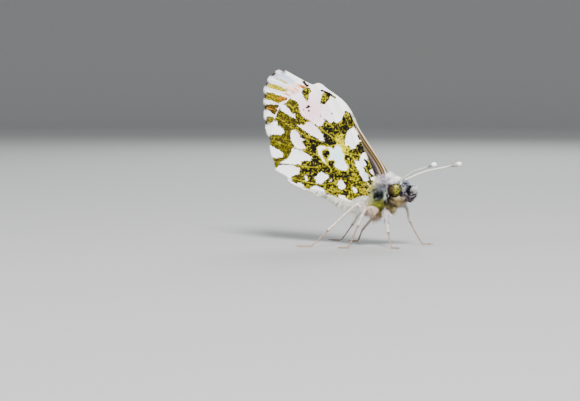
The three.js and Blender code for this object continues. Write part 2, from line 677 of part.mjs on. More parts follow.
/** What each part's hair keeps clear of: all the other parts. */
function coreBalls() {
  const cores = { thorax: [], head: [], eyes: [], palps: [], legs: [] };
  cores.wings = [...wingBalls(FOREWING), ...wingBalls(HINDWING)];
  for (let x = -2.4; x <= 2.2; x += 0.2) {
    const [middle, high, wide] = follow(THORAX.stations, x);
    const spread = Math.max(high - wide, 0);
    for (const z of [middle - spread, middle, middle + spread]) cores.thorax.push([point(x, 0, z), wide]);
  }
  for (const shift of [-0.2, 0, 0.2]) cores.head.push([point(HEAD.x + shift, 0, HEAD.z), HEAD.wide]);
  cores.abdomen = ballsAlong(abdomenCurve(), abdomenRadius);
  for (const sign of [-1, 1]) {
    const middle = point(EYE.x, sign * (EYE.inner + 0.2), EYE.z);
    cores.eyes.push([middle, EYE.dome * 0.7]);
    for (let turn = 0; turn < 2 * Math.PI; turn += Math.PI / 8) {
      const rim = point(Math.cos(turn), 0, Math.sin(turn)).multiplyScalar(EYE.radius - 0.2);
      cores.eyes.push([rim.add(middle), 0.22]);
    }
  }
  cores.antennae = ['right', 'left'].flatMap((side) => ballsAlong(antennaCurve(side), antennaRadius));
  for (const sign of [-1, 1]) cores.palps.push(ballsAlong(palpCurve(sign), palpRadius));
  for (const name of Object.keys(LEGS)) {
    const joints = legJoints(name);
    cores.legs.push(...ballsAlong(jointedCurve(joints), legRadius(joints)));
  }
  return cores;
}

// ---------------------------------------------------------------- the butterfly

const butterfly = new THREE.Group();

function add(name, geometry, finish) {
  const mesh = new THREE.Mesh(geometry, new THREE.MeshStandardMaterial({ ...FINISH[finish], metalness: 0 }));
  mesh.name = name;
  butterfly.add(mesh);
}

const { thorax, head, abdomen, eyes, palps, antennae, wings, legs } = coreBalls();
const hair = [];

/** Coats a core, clear of the given balls and of the hair that other parts have grown. */
function coat(core, locks, ...others) {
  const balls = [...others.flat(), ...hair];
  const before = balls.length;
  const geometry = coated(core, locks, balls);
  hair.push(...balls.slice(before));
  return geometry;
}

const thoraxCore = trunkGeometry(THORAX, 12, 18);
const thoraxLocks = rowsOfLocks((x, turn) => trunkPoint(THORAX, x, turn), THORAX_ROWS);
add('thorax', coat(thoraxCore, thoraxLocks, wings, legs, head, eyes, abdomen, antennae), 'hair');

const headLocks = rowsOfLocks(headPoint, HEAD_ROWS);
add('head', coat(headGeometry(), headLocks, thorax, eyes, antennae, palps.flat(), legs), 'hair');

const abdomenCore = limb(abdomenCurve(), abdomenRadius, ABDOMEN.segments * 3, 12);
const abdomenLocks = rowsOfLocks(limbSurface(abdomenCurve(), abdomenRadius), ABDOMEN_ROWS);
add('abdomen', coat(abdomenCore, abdomenLocks, thorax, wings, legs), 'hair');

for (const [side, sign] of [['right', -1], ['left', 1]]) {
  const palpCore = limb(palpCurve(sign), palpRadius, 5, 7);
  const palpLocks = rowsOfLocks(limbSurface(palpCurve(sign), palpRadius), PALP_ROWS);
  const otherPalp = palps[sign < 0 ? 1 : 0];
  add(`palp_${side}`, coat(palpCore, palpLocks, head, eyes, antennae, legs, otherPalp), 'hair');
  add(`eye_${side}`, eyeGeometry(sign), 'eye');
  add(`antenna_${side}`, limb(antennaCurve(side), antennaRadius, 20, 8), 'antenna');
  add(`forewing_${side}`, wingGeometry(FOREWING, sign), 'wing');
  add(`hindwing_${side}`, wingGeometry(HINDWING, sign), 'marbled');
}
for (const name of Object.keys(LEGS)) add(name, legGeometry(name), 'leg');

// Set down: the feet at z = 0, and the origin under the middle of the whole.
const bounds = new THREE.Box3().setFromObject(butterfly);
const middle = bounds.getCenter(new THREE.Vector3());
butterfly.position.set(-middle.x, -middle.y, -bounds.min.z);

export default butterfly;
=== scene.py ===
"""A male orange-tip butterfly at rest with closed wings: its scales, hair, eyes and feelers.

Shapes are written in millimetres from the middle of the thorax: x forwards, y to the butterfly's
left and z up. at_thorax() sets them into the frame, in metres.
"""

import math

import bmesh
import bpy
import numpy as np
from mathutils import Matrix, Vector


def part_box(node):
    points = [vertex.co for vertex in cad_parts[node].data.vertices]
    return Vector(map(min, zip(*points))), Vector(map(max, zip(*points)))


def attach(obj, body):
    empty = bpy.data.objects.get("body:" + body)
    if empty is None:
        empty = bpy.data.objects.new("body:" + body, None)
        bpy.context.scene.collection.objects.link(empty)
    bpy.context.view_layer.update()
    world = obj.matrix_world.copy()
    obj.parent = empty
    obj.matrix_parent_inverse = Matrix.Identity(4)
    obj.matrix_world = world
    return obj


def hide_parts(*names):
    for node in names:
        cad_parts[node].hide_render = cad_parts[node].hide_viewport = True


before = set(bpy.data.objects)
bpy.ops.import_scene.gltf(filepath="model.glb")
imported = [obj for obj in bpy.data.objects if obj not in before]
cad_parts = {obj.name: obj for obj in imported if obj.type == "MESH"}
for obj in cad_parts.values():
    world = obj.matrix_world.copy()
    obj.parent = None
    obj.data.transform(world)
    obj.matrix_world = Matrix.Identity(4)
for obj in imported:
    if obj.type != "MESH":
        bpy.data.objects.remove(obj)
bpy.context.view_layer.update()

# ---------------------------------------------------------------- sizes

MM = 0.001
STANCE = 7.2                      # the thorax's middle above the floor
EYE = {"x": 2.67, "y": 0.6, "z": 0.83, "radius": 0.96, "depth": 0.8}
DOME_X = 2.36                     # the faceted dome sits a little further back than the eye's node

FRAME_WIDTH, FRAME_HEIGHT = 580, 401
PIXELS_PER_MM = 7.1               # in the camera's picture, at the thorax
THORAX_PIXEL = (380, 195)
AZIMUTH = math.radians(20)
ELEVATION = math.radians(4)
LENS, SENSOR = 100, 36

WING_THICKNESS = 0.12
WING_ROWS, WING_COLUMNS = 170, 150
RIDGE = {"height": 0.07, "width": 0.12}
SAG = {"depth": 0.05, "width": 0.5}
VEIN_WIDTH = 0.065
SCALLOP = 0.12
LAG = math.radians(0.9)           # the left wings lie this much further back than the right ones
JOIN = 0.12                       # the share of a wing line over which it leaves or joins another

SIDES = (("right", -1), ("left", 1))
FULL_TURN = 2 * math.pi

RANDOM = np.random.default_rng(11)


def middle_of(node):
    low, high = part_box(node)
    return (low + high) / 2


EYE_RIGHT, EYE_LEFT = middle_of("eye_right"), middle_of("eye_left")
THORAX = np.array([
    EYE_RIGHT.x - EYE["x"] * MM,
    (EYE_RIGHT.y + EYE_LEFT.y) / 2,
    EYE_RIGHT.z - EYE["z"] * MM,
])


def at_thorax(points):
    """Millimetres from the thorax's middle, as places in the frame."""
    return np.asarray(points, float) * MM + THORAX


def from_thorax(points):
    return (np.asarray(points, float) - THORAX) / MM


def colour(red, green, blue):
    """A screen colour, 0 to 255, as the linear values that shaders take."""
    return tuple(
        (c / 12.92 if c <= 0.04045 else ((c + 0.055) / 1.055) ** 2.4)
        for c in (red / 255, green / 255, blue / 255)
    )


def link(name, data):
    """An object for a mesh, lamp or camera, put in the scene."""
    thing = bpy.data.objects.new(name, data)
    bpy.context.scene.collection.objects.link(thing)
    return thing


def mesh_from(name, bm, materials):
    mesh = bpy.data.meshes.new(name)
    bm.to_mesh(mesh)
    bm.free()
    finish_mesh(mesh, materials)
    return mesh


def finish_mesh(mesh, materials):
    for material in materials:
        mesh.materials.append(material)
    mesh.polygons.foreach_set("use_smooth", [True] * len(mesh.polygons))


# ---------------------------------------------------------------- camera, floor and light


def add_camera():
    """The camera looks at the butterfly's right side, a little from the front and from above."""
    sine, cosine = math.sin(AZIMUTH), math.cos(AZIMUTH)
    right = Vector((cosine, sine, 0))
    back = Vector((sine * math.cos(ELEVATION), -cosine * math.cos(ELEVATION), math.sin(ELEVATION)))
    up = back.cross(right)
    distance = FRAME_WIDTH / PIXELS_PER_MM * LENS / SENSOR * MM
    aside = (FRAME_WIDTH / 2 - THORAX_PIXEL[0]) / PIXELS_PER_MM * MM
    above = (THORAX_PIXEL[1] - FRAME_HEIGHT / 2) / PIXELS_PER_MM * MM
    place = Vector(THORAX) + right * aside + up * above + back * distance
    data = bpy.data.cameras.new("camera")
    data.lens = LENS
    data.sensor_width = SENSOR
    data.clip_start = 0.01
    camera = link("camera", data)
    camera.matrix_world = Matrix((
        (right.x, up.x, back.x, place.x),
        (right.y, up.y, back.y, place.y),
        (right.z, up.z, back.z, place.z),
        (0, 0, 0, 1),
    ))
    bpy.context.scene.camera = camera


def add_floor():
    """A round floor that curves up all the way round into a plain pale wall."""
    radius, rise = 0.7, 0.35
    bm = bmesh.new()
    steps, sides = 12, 96
    profile = [Vector((0, 0, 0)), Vector((radius, 0, 0))]
    for n in range(1, steps + 1):
        turn = math.pi / 2 * n / steps
        profile.append(Vector((radius + rise * math.sin(turn), 0, rise * (1 - math.cos(turn)))))
    verts = [bm.verts.new(point) for point in profile]
    edges = [bm.edges.new(pair) for pair in zip(verts, verts[1:])]
    bmesh.ops.spin(
        bm, geom=verts + edges, cent=(0, 0, 0), axis=(0, 0, 1), angle=FULL_TURN, steps=sides,
        use_merge=True,
    )
    bmesh.ops.remove_doubles(bm, verts=bm.verts, dist=1e-5)
    bmesh.ops.recalc_face_normals(bm, faces=bm.faces)
    if sum(face.normal.z for face in bm.faces) < 0:
        bmesh.ops.reverse_faces(bm, faces=bm.faces)
    link("floor", mesh_from("floor", bm, [floor_material()]))


def add_area_light(name, place, size, power, tint=(1, 1, 1)):
    """A square soft light that faces the thorax; place is in millimetres from it."""
    data = bpy.data.lights.new(name, "AREA")
    data.size = size * MM
    data.energy = power
    data.color = tint
    light = link(name, data)
    light.location = at_thorax(place)
    light.rotation_euler = (-Vector(place)).to_track_quat("-Z", "Y").to_euler()


def add_lights():
    world = bpy.data.worlds.new("studio")
    world.use_nodes = True
    background = world.node_tree.nodes["Background"]
    background.inputs["Color"].default_value = (0.95, 0.97, 1.0, 1)
    background.inputs["Strength"].default_value = 0.56
    bpy.context.scene.world = world
    add_area_light("key", (150, -260, 330), 150, 6.6, (1.0, 0.98, 0.95))
    add_area_light("fill", (-320, -220, 120), 260, 1.1, (0.95, 0.97, 1.0))
    add_area_light("rim", (-60, 320, 240), 180, 1.3)


# ---------------------------------------------------------------- materials


def add_node(tree, kind, inputs, **settings):
    """A shader node; inputs gives each socket a value or the socket that feeds it."""
    node = tree.nodes.new(kind)
    for name, value in settings.items():
        setattr(node, name, value)
    for name, value in inputs.items():
        if isinstance(value, bpy.types.NodeSocket):
            tree.links.new(value, node.inputs[name])
        else:
            node.inputs[name].default_value = value
    return node


def mixed(tree, share, first, second):
    """Colour first where share is 0 and second where it is 1."""
    factor, a, b, result = 0, 6, 7, 2
    pair = {a: first, b: second}
    for place, value in pair.items():
        if isinstance(value, tuple) and len(value) == 3:
            pair[place] = (*value, 1)
    node = add_node(tree, "ShaderNodeMix", {factor: share, **pair}, data_type="RGBA")
    return node.outputs[result]


def maths(tree, operation, *values, clamp=False):
    inputs = dict(enumerate(values))
    return add_node(tree, "ShaderNodeMath", inputs, operation=operation, use_clamp=clamp).outputs[0]


def either_way(tree, value, swing):
    """Turns 0 to 1 into a push of up to half the swing down or up."""
    return maths(tree, "MULTIPLY_ADD", value, swing, -swing / 2)


def shaded(tree, tint, value):
    return add_node(tree, "ShaderNodeHueSaturation", {"Color": tint, "Value": value}).outputs[0]


def channels(tree, tint):
    return add_node(tree, "ShaderNodeSeparateColor", {"Color": tint}).outputs


def step_up(tree, value, edge, softness):
    """0 below the edge and 1 above it, with a short ramp between."""
    lifted = maths(tree, "SUBTRACT", value, edge)
    return maths(tree, "MULTIPLY_ADD", lifted, 1 / softness, 0.5, clamp=True)


def noise(tree, place, per_mm, detail=2.0):
    inputs = {"Vector": place, "Scale": per_mm / MM, "Detail": detail}
    return add_node(tree, "ShaderNodeTexNoise", inputs).outputs["Fac"]


def patchy(tree, place, per_mm, contrast, offset, detail=1.0):
    """Noise pulled apart into clear patches of 0 and 1."""
    return maths(tree, "MULTIPLY_ADD", noise(tree, place, per_mm, detail), contrast, offset, clamp=True)


def cells(tree, place, per_mm, randomness=1.0, output="Distance", dimensions="3D"):
    inputs = {"Vector": place, "Scale": per_mm / MM, "Randomness": randomness}
    return add_node(tree, "ShaderNodeTexVoronoi", inputs, voronoi_dimensions=dimensions).outputs[output]


def attribute(tree, name):
    return add_node(tree, "ShaderNodeAttribute", {}, attribute_name=name).outputs["Color"]


def new_material(name, roughness, specular, gloss=0.0):
    """A material with its tree, its surface shader and the object's own coordinates."""
    material = bpy.data.materials.new(name)
    material.use_nodes = True
    tree = material.node_tree
    shader = tree.nodes["Principled BSDF"]
    values = {"Roughness": roughness, "Specular IOR Level": specular, "Coat Weight": gloss,
              "Coat Roughness": 0.08}
    for socket, value in values.items():
        shader.inputs[socket].default_value = value
    return material, tree, shader, tree.nodes.new("ShaderNodeTexCoord").outputs["Object"]


def finish_surface(parts, tint, height, strength, depth):
    """Gives a material its colour, and raises it by depth millimetres where height is 1."""
    material, tree, shader, _ = parts
    inputs = {"Height": height, "Strength": strength, "Distance": depth * MM}
    normal = add_node(tree, "ShaderNodeBump", inputs).outputs["Normal"]
    tree.links.new(normal, shader.inputs["Normal"])
    tree.links.new(tint, shader.inputs["Base Color"])
    return material


def floor_material():
    parts = new_material("matt_paper", 0.9, 0.2)
    _, tree, _, place = parts
    grain = noise(tree, place, 1.5, 4.0)
    paper = mixed(tree, grain, colour(138, 140, 140), colour(146, 148, 148))
    return finish_surface(parts, paper, grain, 0.15, 0.05)


SCALES_PER_MM = 12.0
SPOTS_PER_MM, FACETS_PER_MM = 3.0, 26.0
SPECKLES_PER_MM, FINE_SPECKLES_PER_MM = 4.1, 7.5
PLAIN_EDGE = 0.5                  # what "marks" holds where a plain area ends


def wing_material(name, vein):
    """Scaled membrane. It reads four painted layers: "paint" colours the plain areas, "ground" the
    marbled ones and "speckle" their dark scales, and "marks" holds how far inside a plain area a
    point is, how thick the dark scales lie and how near a vein is."""
    parts = new_material(name, 0.7, 0.12)
    _, tree, _, place = parts
    marks = channels(tree, attribute(tree, "marks"))
    on_vein = maths(tree, "MULTIPLY", marks["Blue"], patchy(tree, place, 3.0, 4.0, -1.1))
    chance = channels(tree, cells(tree, place, SCALES_PER_MM, output="Color"))["Red"]

    edge = maths(tree, "ADD", marks["Red"], either_way(tree, noise(tree, place, 5.5, 1.0), 0.16))
    edge = maths(tree, "ADD", edge, either_way(tree, noise(tree, place, 1.8, 1.0), 0.1))
    plain = step_up(tree, edge, PLAIN_EDGE, 0.03)

    clumps = either_way(tree, noise(tree, place, 2.0, 1.0), 0.7)
    reach = maths(tree, "MULTIPLY_ADD", marks["Green"], 1.2, clumps)
    reach = maths(tree, "ADD", reach, either_way(tree, chance, 0.22))
    beyond = maths(tree, "MAXIMUM", maths(tree, "SUBTRACT", edge, PLAIN_EDGE - 0.01), 0.0)
    reach = maths(tree, "SUBTRACT", reach, maths(tree, "MULTIPLY", beyond, 8.0))
    large = maths(tree, "SUBTRACT", reach, cells(tree, place, SPECKLES_PER_MM))
    fine = maths(tree, "MULTIPLY", reach, 0.75)
    fine = maths(tree, "SUBTRACT", fine, cells(tree, place, FINE_SPECKLES_PER_MM))
    fine = maths(tree, "MULTIPLY", step_up(tree, fine, 0.0, 0.2), 0.6)
    speckle = maths(tree, "MAXIMUM", step_up(tree, large, 0.0, 0.14), fine)
    speckle = maths(tree, "MULTIPLY", speckle, maths(tree, "MULTIPLY_ADD", on_vein, -0.7, 1.0))

    ground = attribute(tree, "ground")
    dull = maths(tree, "MULTIPLY", patchy(tree, place, 3.2, 3.2, -1.2, detail=2.0), 0.8)
    marbled = mixed(tree, dull, ground, shaded(tree, ground, 0.4))
    marbled = mixed(tree, maths(tree, "MULTIPLY", on_vein, 0.75), marbled, vein)
    tinge = tuple(0.6 * part for part in vein)
    pale = mixed(tree, maths(tree, "MULTIPLY", on_vein, 0.5), attribute(tree, "paint"), tinge)
    painted = mixed(tree, plain, marbled, pale)
    painted = mixed(tree, speckle, painted, attribute(tree, "speckle"))

    scales = cells(tree, place, SCALES_PER_MM)
    toned = shaded(tree, painted, maths(tree, "MULTIPLY_ADD", scales, -0.12, 1.06))
    return finish_surface(parts, toned, scales, 0.25, 0.02)


def hair_material(name, roughness):
    """Hair and the skin under it, coloured by their own painted tint."""
    parts = new_material(name, roughness, 0.15)
    _, tree, _, place = parts
    grain = noise(tree, place, 8.0, 2.0)
    toned = shaded(tree, attribute(tree, "tint"), maths(tree, "MULTIPLY_ADD", grain, 0.4, 0.8))
    return finish_surface(parts, toned, grain, 0.3, 0.03)


def eye_material():
    """Yellow-green and spotted with black, brown behind and dark round the rim, with fine facets."""
    parts = new_material("faceted_eye", 0.45, 0.3, gloss=0.12)
    _, tree, _, place = parts
    centre = at_thorax((DOME_X, 0, EYE["z"]))
    axes = add_node(tree, "ShaderNodeSeparateXYZ", {"Vector": place}).outputs
    ahead = maths(tree, "SUBTRACT", axes["X"], float(centre[0]))
    above = maths(tree, "SUBTRACT", axes["Z"], float(centre[2]))
    flat = add_node(tree, "ShaderNodeCombineXYZ", {"X": ahead, "Y": above}).outputs["Vector"]
    out = add_node(tree, "ShaderNodeVectorMath", {0: flat}, operation="LENGTH").outputs["Value"]
    front = maths(tree, "MULTIPLY_ADD", ahead, 2.6 / MM, 0.36, clamp=True)
    rear = mixed(tree, patchy(tree, place, 5.0, 3.0, -1.0), colour(30, 15, 0), colour(78, 46, 2))
    base = mixed(tree, front, rear, colour(94, 100, 0))
    wander = maths(tree, "MULTIPLY", noise(tree, place, 1.5, 0.0), 0.6)
    base = mixed(tree, maths(tree, "MULTIPLY", wander, front), base, colour(160, 150, 8))
    rim = step_up(tree, maths(tree, "MULTIPLY", out, 1 / MM), 0.84, 0.22)
    base = mixed(tree, maths(tree, "MULTIPLY", rim, 0.85), base, colour(26, 18, 2))
    spots = cells(tree, flat, SPOTS_PER_MM, 0.5, dimensions="2D")
    spotted = mixed(tree, step_up(tree, spots, 0.32, 0.08), colour(6, 5, 2), base)
    return finish_surface(parts, spotted, cells(tree, place, FACETS_PER_MM, 0.3), 0.3, 0.015)


# ---------------------------------------------------------------- general shapes


def follow(rows, at):
    """Smooth values through [place, value, value, ...] rows, with the slope of the rows either side."""
    rows = np.asarray(rows, float)
    last = len(rows) - 1
    k = int(np.clip(np.searchsorted(rows[:, 0], at) - 1, 0, last - 1))
    a, b = rows[k], rows[k + 1]
    before, after = rows[max(k - 1, 0)], rows[min(k + 2, last)]
    span = b[0] - a[0]
    t = min(max((at - a[0]) / span, 0), 1)
    leave = (b[1:] - before[1:]) / (b[0] - before[0]) * span
    arrive = (after[1:] - a[1:]) / (after[0] - a[0]) * span
    return (
        (2 * t**3 - 3 * t**2 + 1) * a[1:] + (t**3 - 2 * t**2 + t) * leave
        + (3 * t**2 - 2 * t**3) * b[1:] + (t**3 - t**2) * arrive
    )


def reaches(points):
    """How far along their path each of the points is."""
    return np.concatenate([[0], np.cumsum(np.linalg.norm(np.diff(points, axis=0), axis=1))])


def read_columns(rows, places, at):
    """Each column of the rows, which lie at places, read straight between them."""
    return np.stack([np.interp(at, places, column) for column in np.asarray(rows).T], axis=-1)


def evenly(points, count):
    """A smooth path through the points, given back as count points at even steps."""
    rows = np.column_stack([reaches(points), points])
    fine = np.array([follow(rows, s) for s in np.linspace(0, rows[-1, 0], 8 * len(points))])
    along = reaches(fine)
    return read_columns(fine, along, np.linspace(0, along[-1], count))


def read_rows(rows, at, column=1):
    """A value from rows that begin with their place, straight from row to row."""
    rows = np.array(rows, float)
    return np.interp(at, rows[:, 0], rows[:, column])


def unit(vectors):
    """The same directions, one long."""
    return vectors / np.maximum(np.linalg.norm(vectors, axis=-1, keepdims=True), 1e-9)


def falloff(distance, width, power=2):
    """1 at no distance and near 0 past the width; a higher power gives it a sharper edge."""
    return np.exp(-((distance / width) ** power))


def ramp(values, start, width):
    """0 up to the start, and 1 from a width further on."""
    return np.clip((values - start) / width, 0, 1)


def all_over(points, *screen):
    """One screen colour for each of the points."""
    return np.tile(colour(*screen), (len(points), 1))


def wash(base, share, tint):
    """Each colour moved its share of the way to the tint."""
    return base + share[:, None] * (np.array(tint) - base)


def dye(base, share, *screen):
    return wash(base, share, colour(*screen))


def add_piece(name, bm, materials, nodes, slot):
    """Makes a finished bmesh a piece of the butterfly that stands for some CAD nodes."""
    mesh = mesh_from(name, bm, materials)
    dress(mesh, nodes, slot)
    return mesh


def dress(mesh, nodes, slot):
    piece = link(mesh.name, mesh)
    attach(piece, "root")
    if nodes:
        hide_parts(*nodes)


def vertex_places(mesh):
    """The mesh's points, in millimetres from the thorax's middle."""
    flat = np.empty(3 * len(mesh.vertices))
    mesh.vertices.foreach_get("co", flat)
    return from_thorax(flat.reshape(-1, 3))


def paint(mesh, name, colours):
    """Keeps a colour for each point of the mesh, as a named layer."""
    layer = mesh.color_attributes.new(name, "FLOAT_COLOR", "POINT")
    rgba = np.ones((len(colours), 4))
    rgba[:, :3] = colours
    layer.data.foreach_set("color", rgba.ravel())


def read_layer(mesh, name, kind):
    """The values that a mesh keeps for its points under a name."""
    values = np.empty(len(mesh.vertices), kind)
    mesh.attributes[name].data.foreach_get("value", values)
    return values


def keep_map(mesh, corners):
    """Keeps a place on the baked picture for each corner of each face."""
    mesh.uv_layers.new(name="OFBake").data.foreach_set("uv", np.asarray(corners, float).ravel())


def corner_vertices(mesh):
    index = np.empty(len(mesh.loops), int)
    mesh.loops.foreach_get("vertex_index", index)
    return index


def add_ball(name, sides, rings, shape, material, nodes, slot):
    """A ball with its points moved to shape(t, turn): t runs from one pole, 0, to the other, 1."""
    bm = bmesh.new()
    around = bm.verts.layers.float.new("turn")
    along = bm.verts.layers.float.new("along")
    bmesh.ops.create_uvsphere(bm, u_segments=sides, v_segments=rings, radius=1)
    for vert in bm.verts:
        t = math.acos(max(-1.0, min(1.0, vert.co.z))) / math.pi
        turn = math.atan2(vert.co.y, vert.co.x)
        vert.co = at_thorax(shape(t, turn))
        vert[around] = turn / FULL_TURN + 0.5
        vert[along] = t
    bmesh.ops.recalc_face_normals(bm, faces=bm.faces)
    return add_piece(name, bm, [material], nodes, slot)


def ball_map(across, along):
    """Places on the baked picture for shares of a turn and of a length."""
    return np.column_stack([0.02 + 0.9 * across, 0.02 + 0.96 * along])


def keep_ball_map(mesh):
    """The unwrap of a ball, parted along one seam."""
    index = corner_vertices(mesh)
    across, along = (read_layer(mesh, name, np.float32)[index] for name in ("turn", "along"))
    for face in mesh.polygons:
        corners = slice(face.loop_start, face.loop_start + face.loop_total)
        if across[corners].max() - across[corners].min() > 0.5:
            across[corners] = np.where(across[corners] < 0.5, across[corners] + 1, across[corners])
    keep_map(mesh, ball_map(across, along))


# ---------------------------------------------------------------- hair


def hair_template():
    """One hair's points as (across, through, along) and its faces: three sides, drawn to a point."""
    bm = bmesh.new()
    bmesh.ops.create_cone(bm, cap_ends=True, segments=3, radius1=1, radius2=1, depth=1)
    bmesh.ops.translate(bm, verts=bm.verts, vec=(0, 0, 0.5))
    for height in (0.4, 0.75):
        geometry = bm.verts[:] + bm.edges[:] + bm.faces[:]
        bmesh.ops.bisect_plane(bm, geom=geometry, plane_co=(0, 0, height), plane_no=(0, 0, 1))
    tip = [vert for vert in bm.verts if vert.co.z > 0.99]
    bmesh.ops.pointmerge(bm, verts=tip, merge_co=(0, 0, 1))
    bmesh.ops.recalc_face_normals(bm, faces=bm.faces)
    bm.verts.index_update()
    points = np.array([vert.co[:] for vert in bm.verts])
    faces = [[vert.index for vert in face.verts] for face in bm.faces]
    bm.free()
    return points, faces


HAIR_POINTS, HAIR_FACES = hair_template()
FLATNESS = 0.45                   # a hair's thickness over its width
BEND = 0.3                        # how far its middle swings out, over its length
SUNK = 0.08                       # how deep its root is in the skin
ROOT_SHADE = 0.72                 # its colour at the root over that at the tip
HAIR_PATCH = 0.0015               # its size on the baked picture


def add_hair(name, coat, material, slot):
    """Joins all hairs of a coat into one piece. coat holds an array for each of: root, out, lie,
    length, width, tint and map, with a row for each hair."""
    across, through, along = HAIR_POINTS.T
    root, out, lie = coat["root"], unit(coat["out"]), unit(coat["lie"])
    length = coat["length"][:, None]
    side = unit(np.cross(out, lie) + 1e-4)
    tip = root + lie * length
    bend = root + (out * BEND + lie * BEND) * length
    t = along[None, :, None]
    sunk = root - out * SUNK
    path = (1 - t) ** 2 * sunk[:, None] + 2 * t * (1 - t) * bend[:, None] + t**2 * tip[:, None]
    wide = (coat["width"][:, None] * (1 - along[None] ** 2.5) / 2)[..., None]
    normal = np.cross(lie, side)
    points = path + wide * across[None, :, None] * side[:, None]
    points += wide * FLATNESS * through[None, :, None] * normal[:, None]

    starts = np.arange(len(root)) * len(HAIR_POINTS)
    faces = [[start + corner for corner in face] for start in starts.tolist() for face in HAIR_FACES]
    mesh = bpy.data.meshes.new(name)
    mesh.from_pydata(at_thorax(points.reshape(-1, 3)).tolist(), [], faces)
    shade = (ROOT_SHADE + (1 - ROOT_SHADE) * along)[None, :, None]
    paint(mesh, "tint", (coat["tint"][:, None] * shade).reshape(-1, 3))
    patch = np.column_stack([across, along]) * HAIR_PATCH
    places = (coat["map"][:, None] + patch[None]).reshape(-1, 2)
    keep_map(mesh, places[corner_vertices(mesh)])
    finish_mesh(mesh, [material])
    dress(mesh, [], slot)


def bunched(root, size):
    """Four numbers from -1 to 1 for each hair, alike for the hairs rooted in the same small cube."""
    cube = np.floor(root / size) @ np.array([[12.99, 39.35, 73.16, 26.65], [78.23, 11.14, 52.23, 94.67],
                                             [37.72, 83.16, 9.15, 61.43]])
    return 2 * np.modf(np.abs(np.sin(cube)) * 43758.5453)[0] - 1


def spread(values, amount):
    """Each value varied at random by up to that share of it."""
    values = np.asarray(values, float)
    return values * (1 + amount * RANDOM.uniform(-1, 1, values.shape))


def widths(count, width):
    return spread(np.full(count, width), 0.3)


def varied(tint, amount):
    """Each hair's colour made lighter or darker at random."""
    return tint * spread(np.ones((len(tint), 1)), amount)


# ---------------------------------------------------------------- wings

# Each line runs from the root (0) to the margin (1), as [how far, x, height]. A line with a stem
# follows it up to where it leaves; one that meets its neighbour runs on along it. Bulges bow the
# margin out and tassels lengthen its fringe, as (x, height, radius, how much).

FOREWING_RADIUS = [[0, 0.6, 2.05], [0.3, -3, 7.2], [0.5, -6.2, 11], [0.75, -9.9, 14.3], [1, -15, 17.4]]
FOREWING_CUBITUS = [[0, 0.25, 1.7], [0.3, -4.2, 5.6], [0.42, -6.6, 7.4], [0.5, -8.2, 8.8]]
FOREWING = {
    "side": 0.44,
    "taper": 0.16,
    "flare": {"out": 0.7, "reach": 1.6, "x": 0.5, "z": 1.8},
    "root": (0.5, 1.9),
    "bulges": [],
    "tassels": [],
    "notches": [(-14.4, 17.4), (-15.9, 17.0), (-16.7, 15.5), (-17, 13.8), (-17, 12.2), (-16.8, 10.1),
                (-16.2, 7.7)],
    "lines": [
        {"own": [[0, 0.95, 2.4], [0.05, 0.95, 3.4], [0.3, -2.2, 8.05], [0.55, -5.35, 12.6],
                 [0.72, -8.2, 14.75], [0.835, -10.55, 15.7], [1, -13.9, 17.4]]},
        {"own": [[0, 0.78, 2.2], [0.3, -2.6, 7.6], [0.6, -6.6, 12.7], [0.8, -9.4, 15.2]],
         "meets": 0, "meets_at": 0.8},
        {"own": FOREWING_RADIUS},
        {"own": [[0.6, -7.6, 12.4], [0.8, -11.6, 14.2], [1, -16.7, 15.8]],
         "stem": FOREWING_RADIUS, "leaves": 0.6},
        {"own": [[0, 0.4, 1.9], [0.3, -3.6, 6.4], [0.5, -7.4, 9.9], [0.75, -11.7, 12.1], [1, -17, 14]],
         "hidden_to": 0.5},
        {"own": [[0.5, -8.2, 8.8], [0.75, -12.1, 10.7], [1, -17, 12.2]],
         "stem": FOREWING_CUBITUS, "leaves": 0.5},
        {"own": [[0.42, -6.6, 7.4], [0.7, -11.2, 8.7], [1, -16.9, 10.1]],
         "stem": FOREWING_CUBITUS, "leaves": 0.42},
        {"own": [[0.3, -4.2, 5.6], [0.65, -9.8, 6.6], [1, -16.3, 7.9]],
         "stem": FOREWING_CUBITUS, "leaves": 0.3},
        {"own": [[0, 0.05, 1.5], [0.4, -5.2, 3.5], [1, -14.9, 5.5]]},
        {"own": [[0, -0.1, 1.35], [0.15, -2, 2.3], [0.5, -7.4, 2.9], [1, -14, 4.75]]},
    ],
}

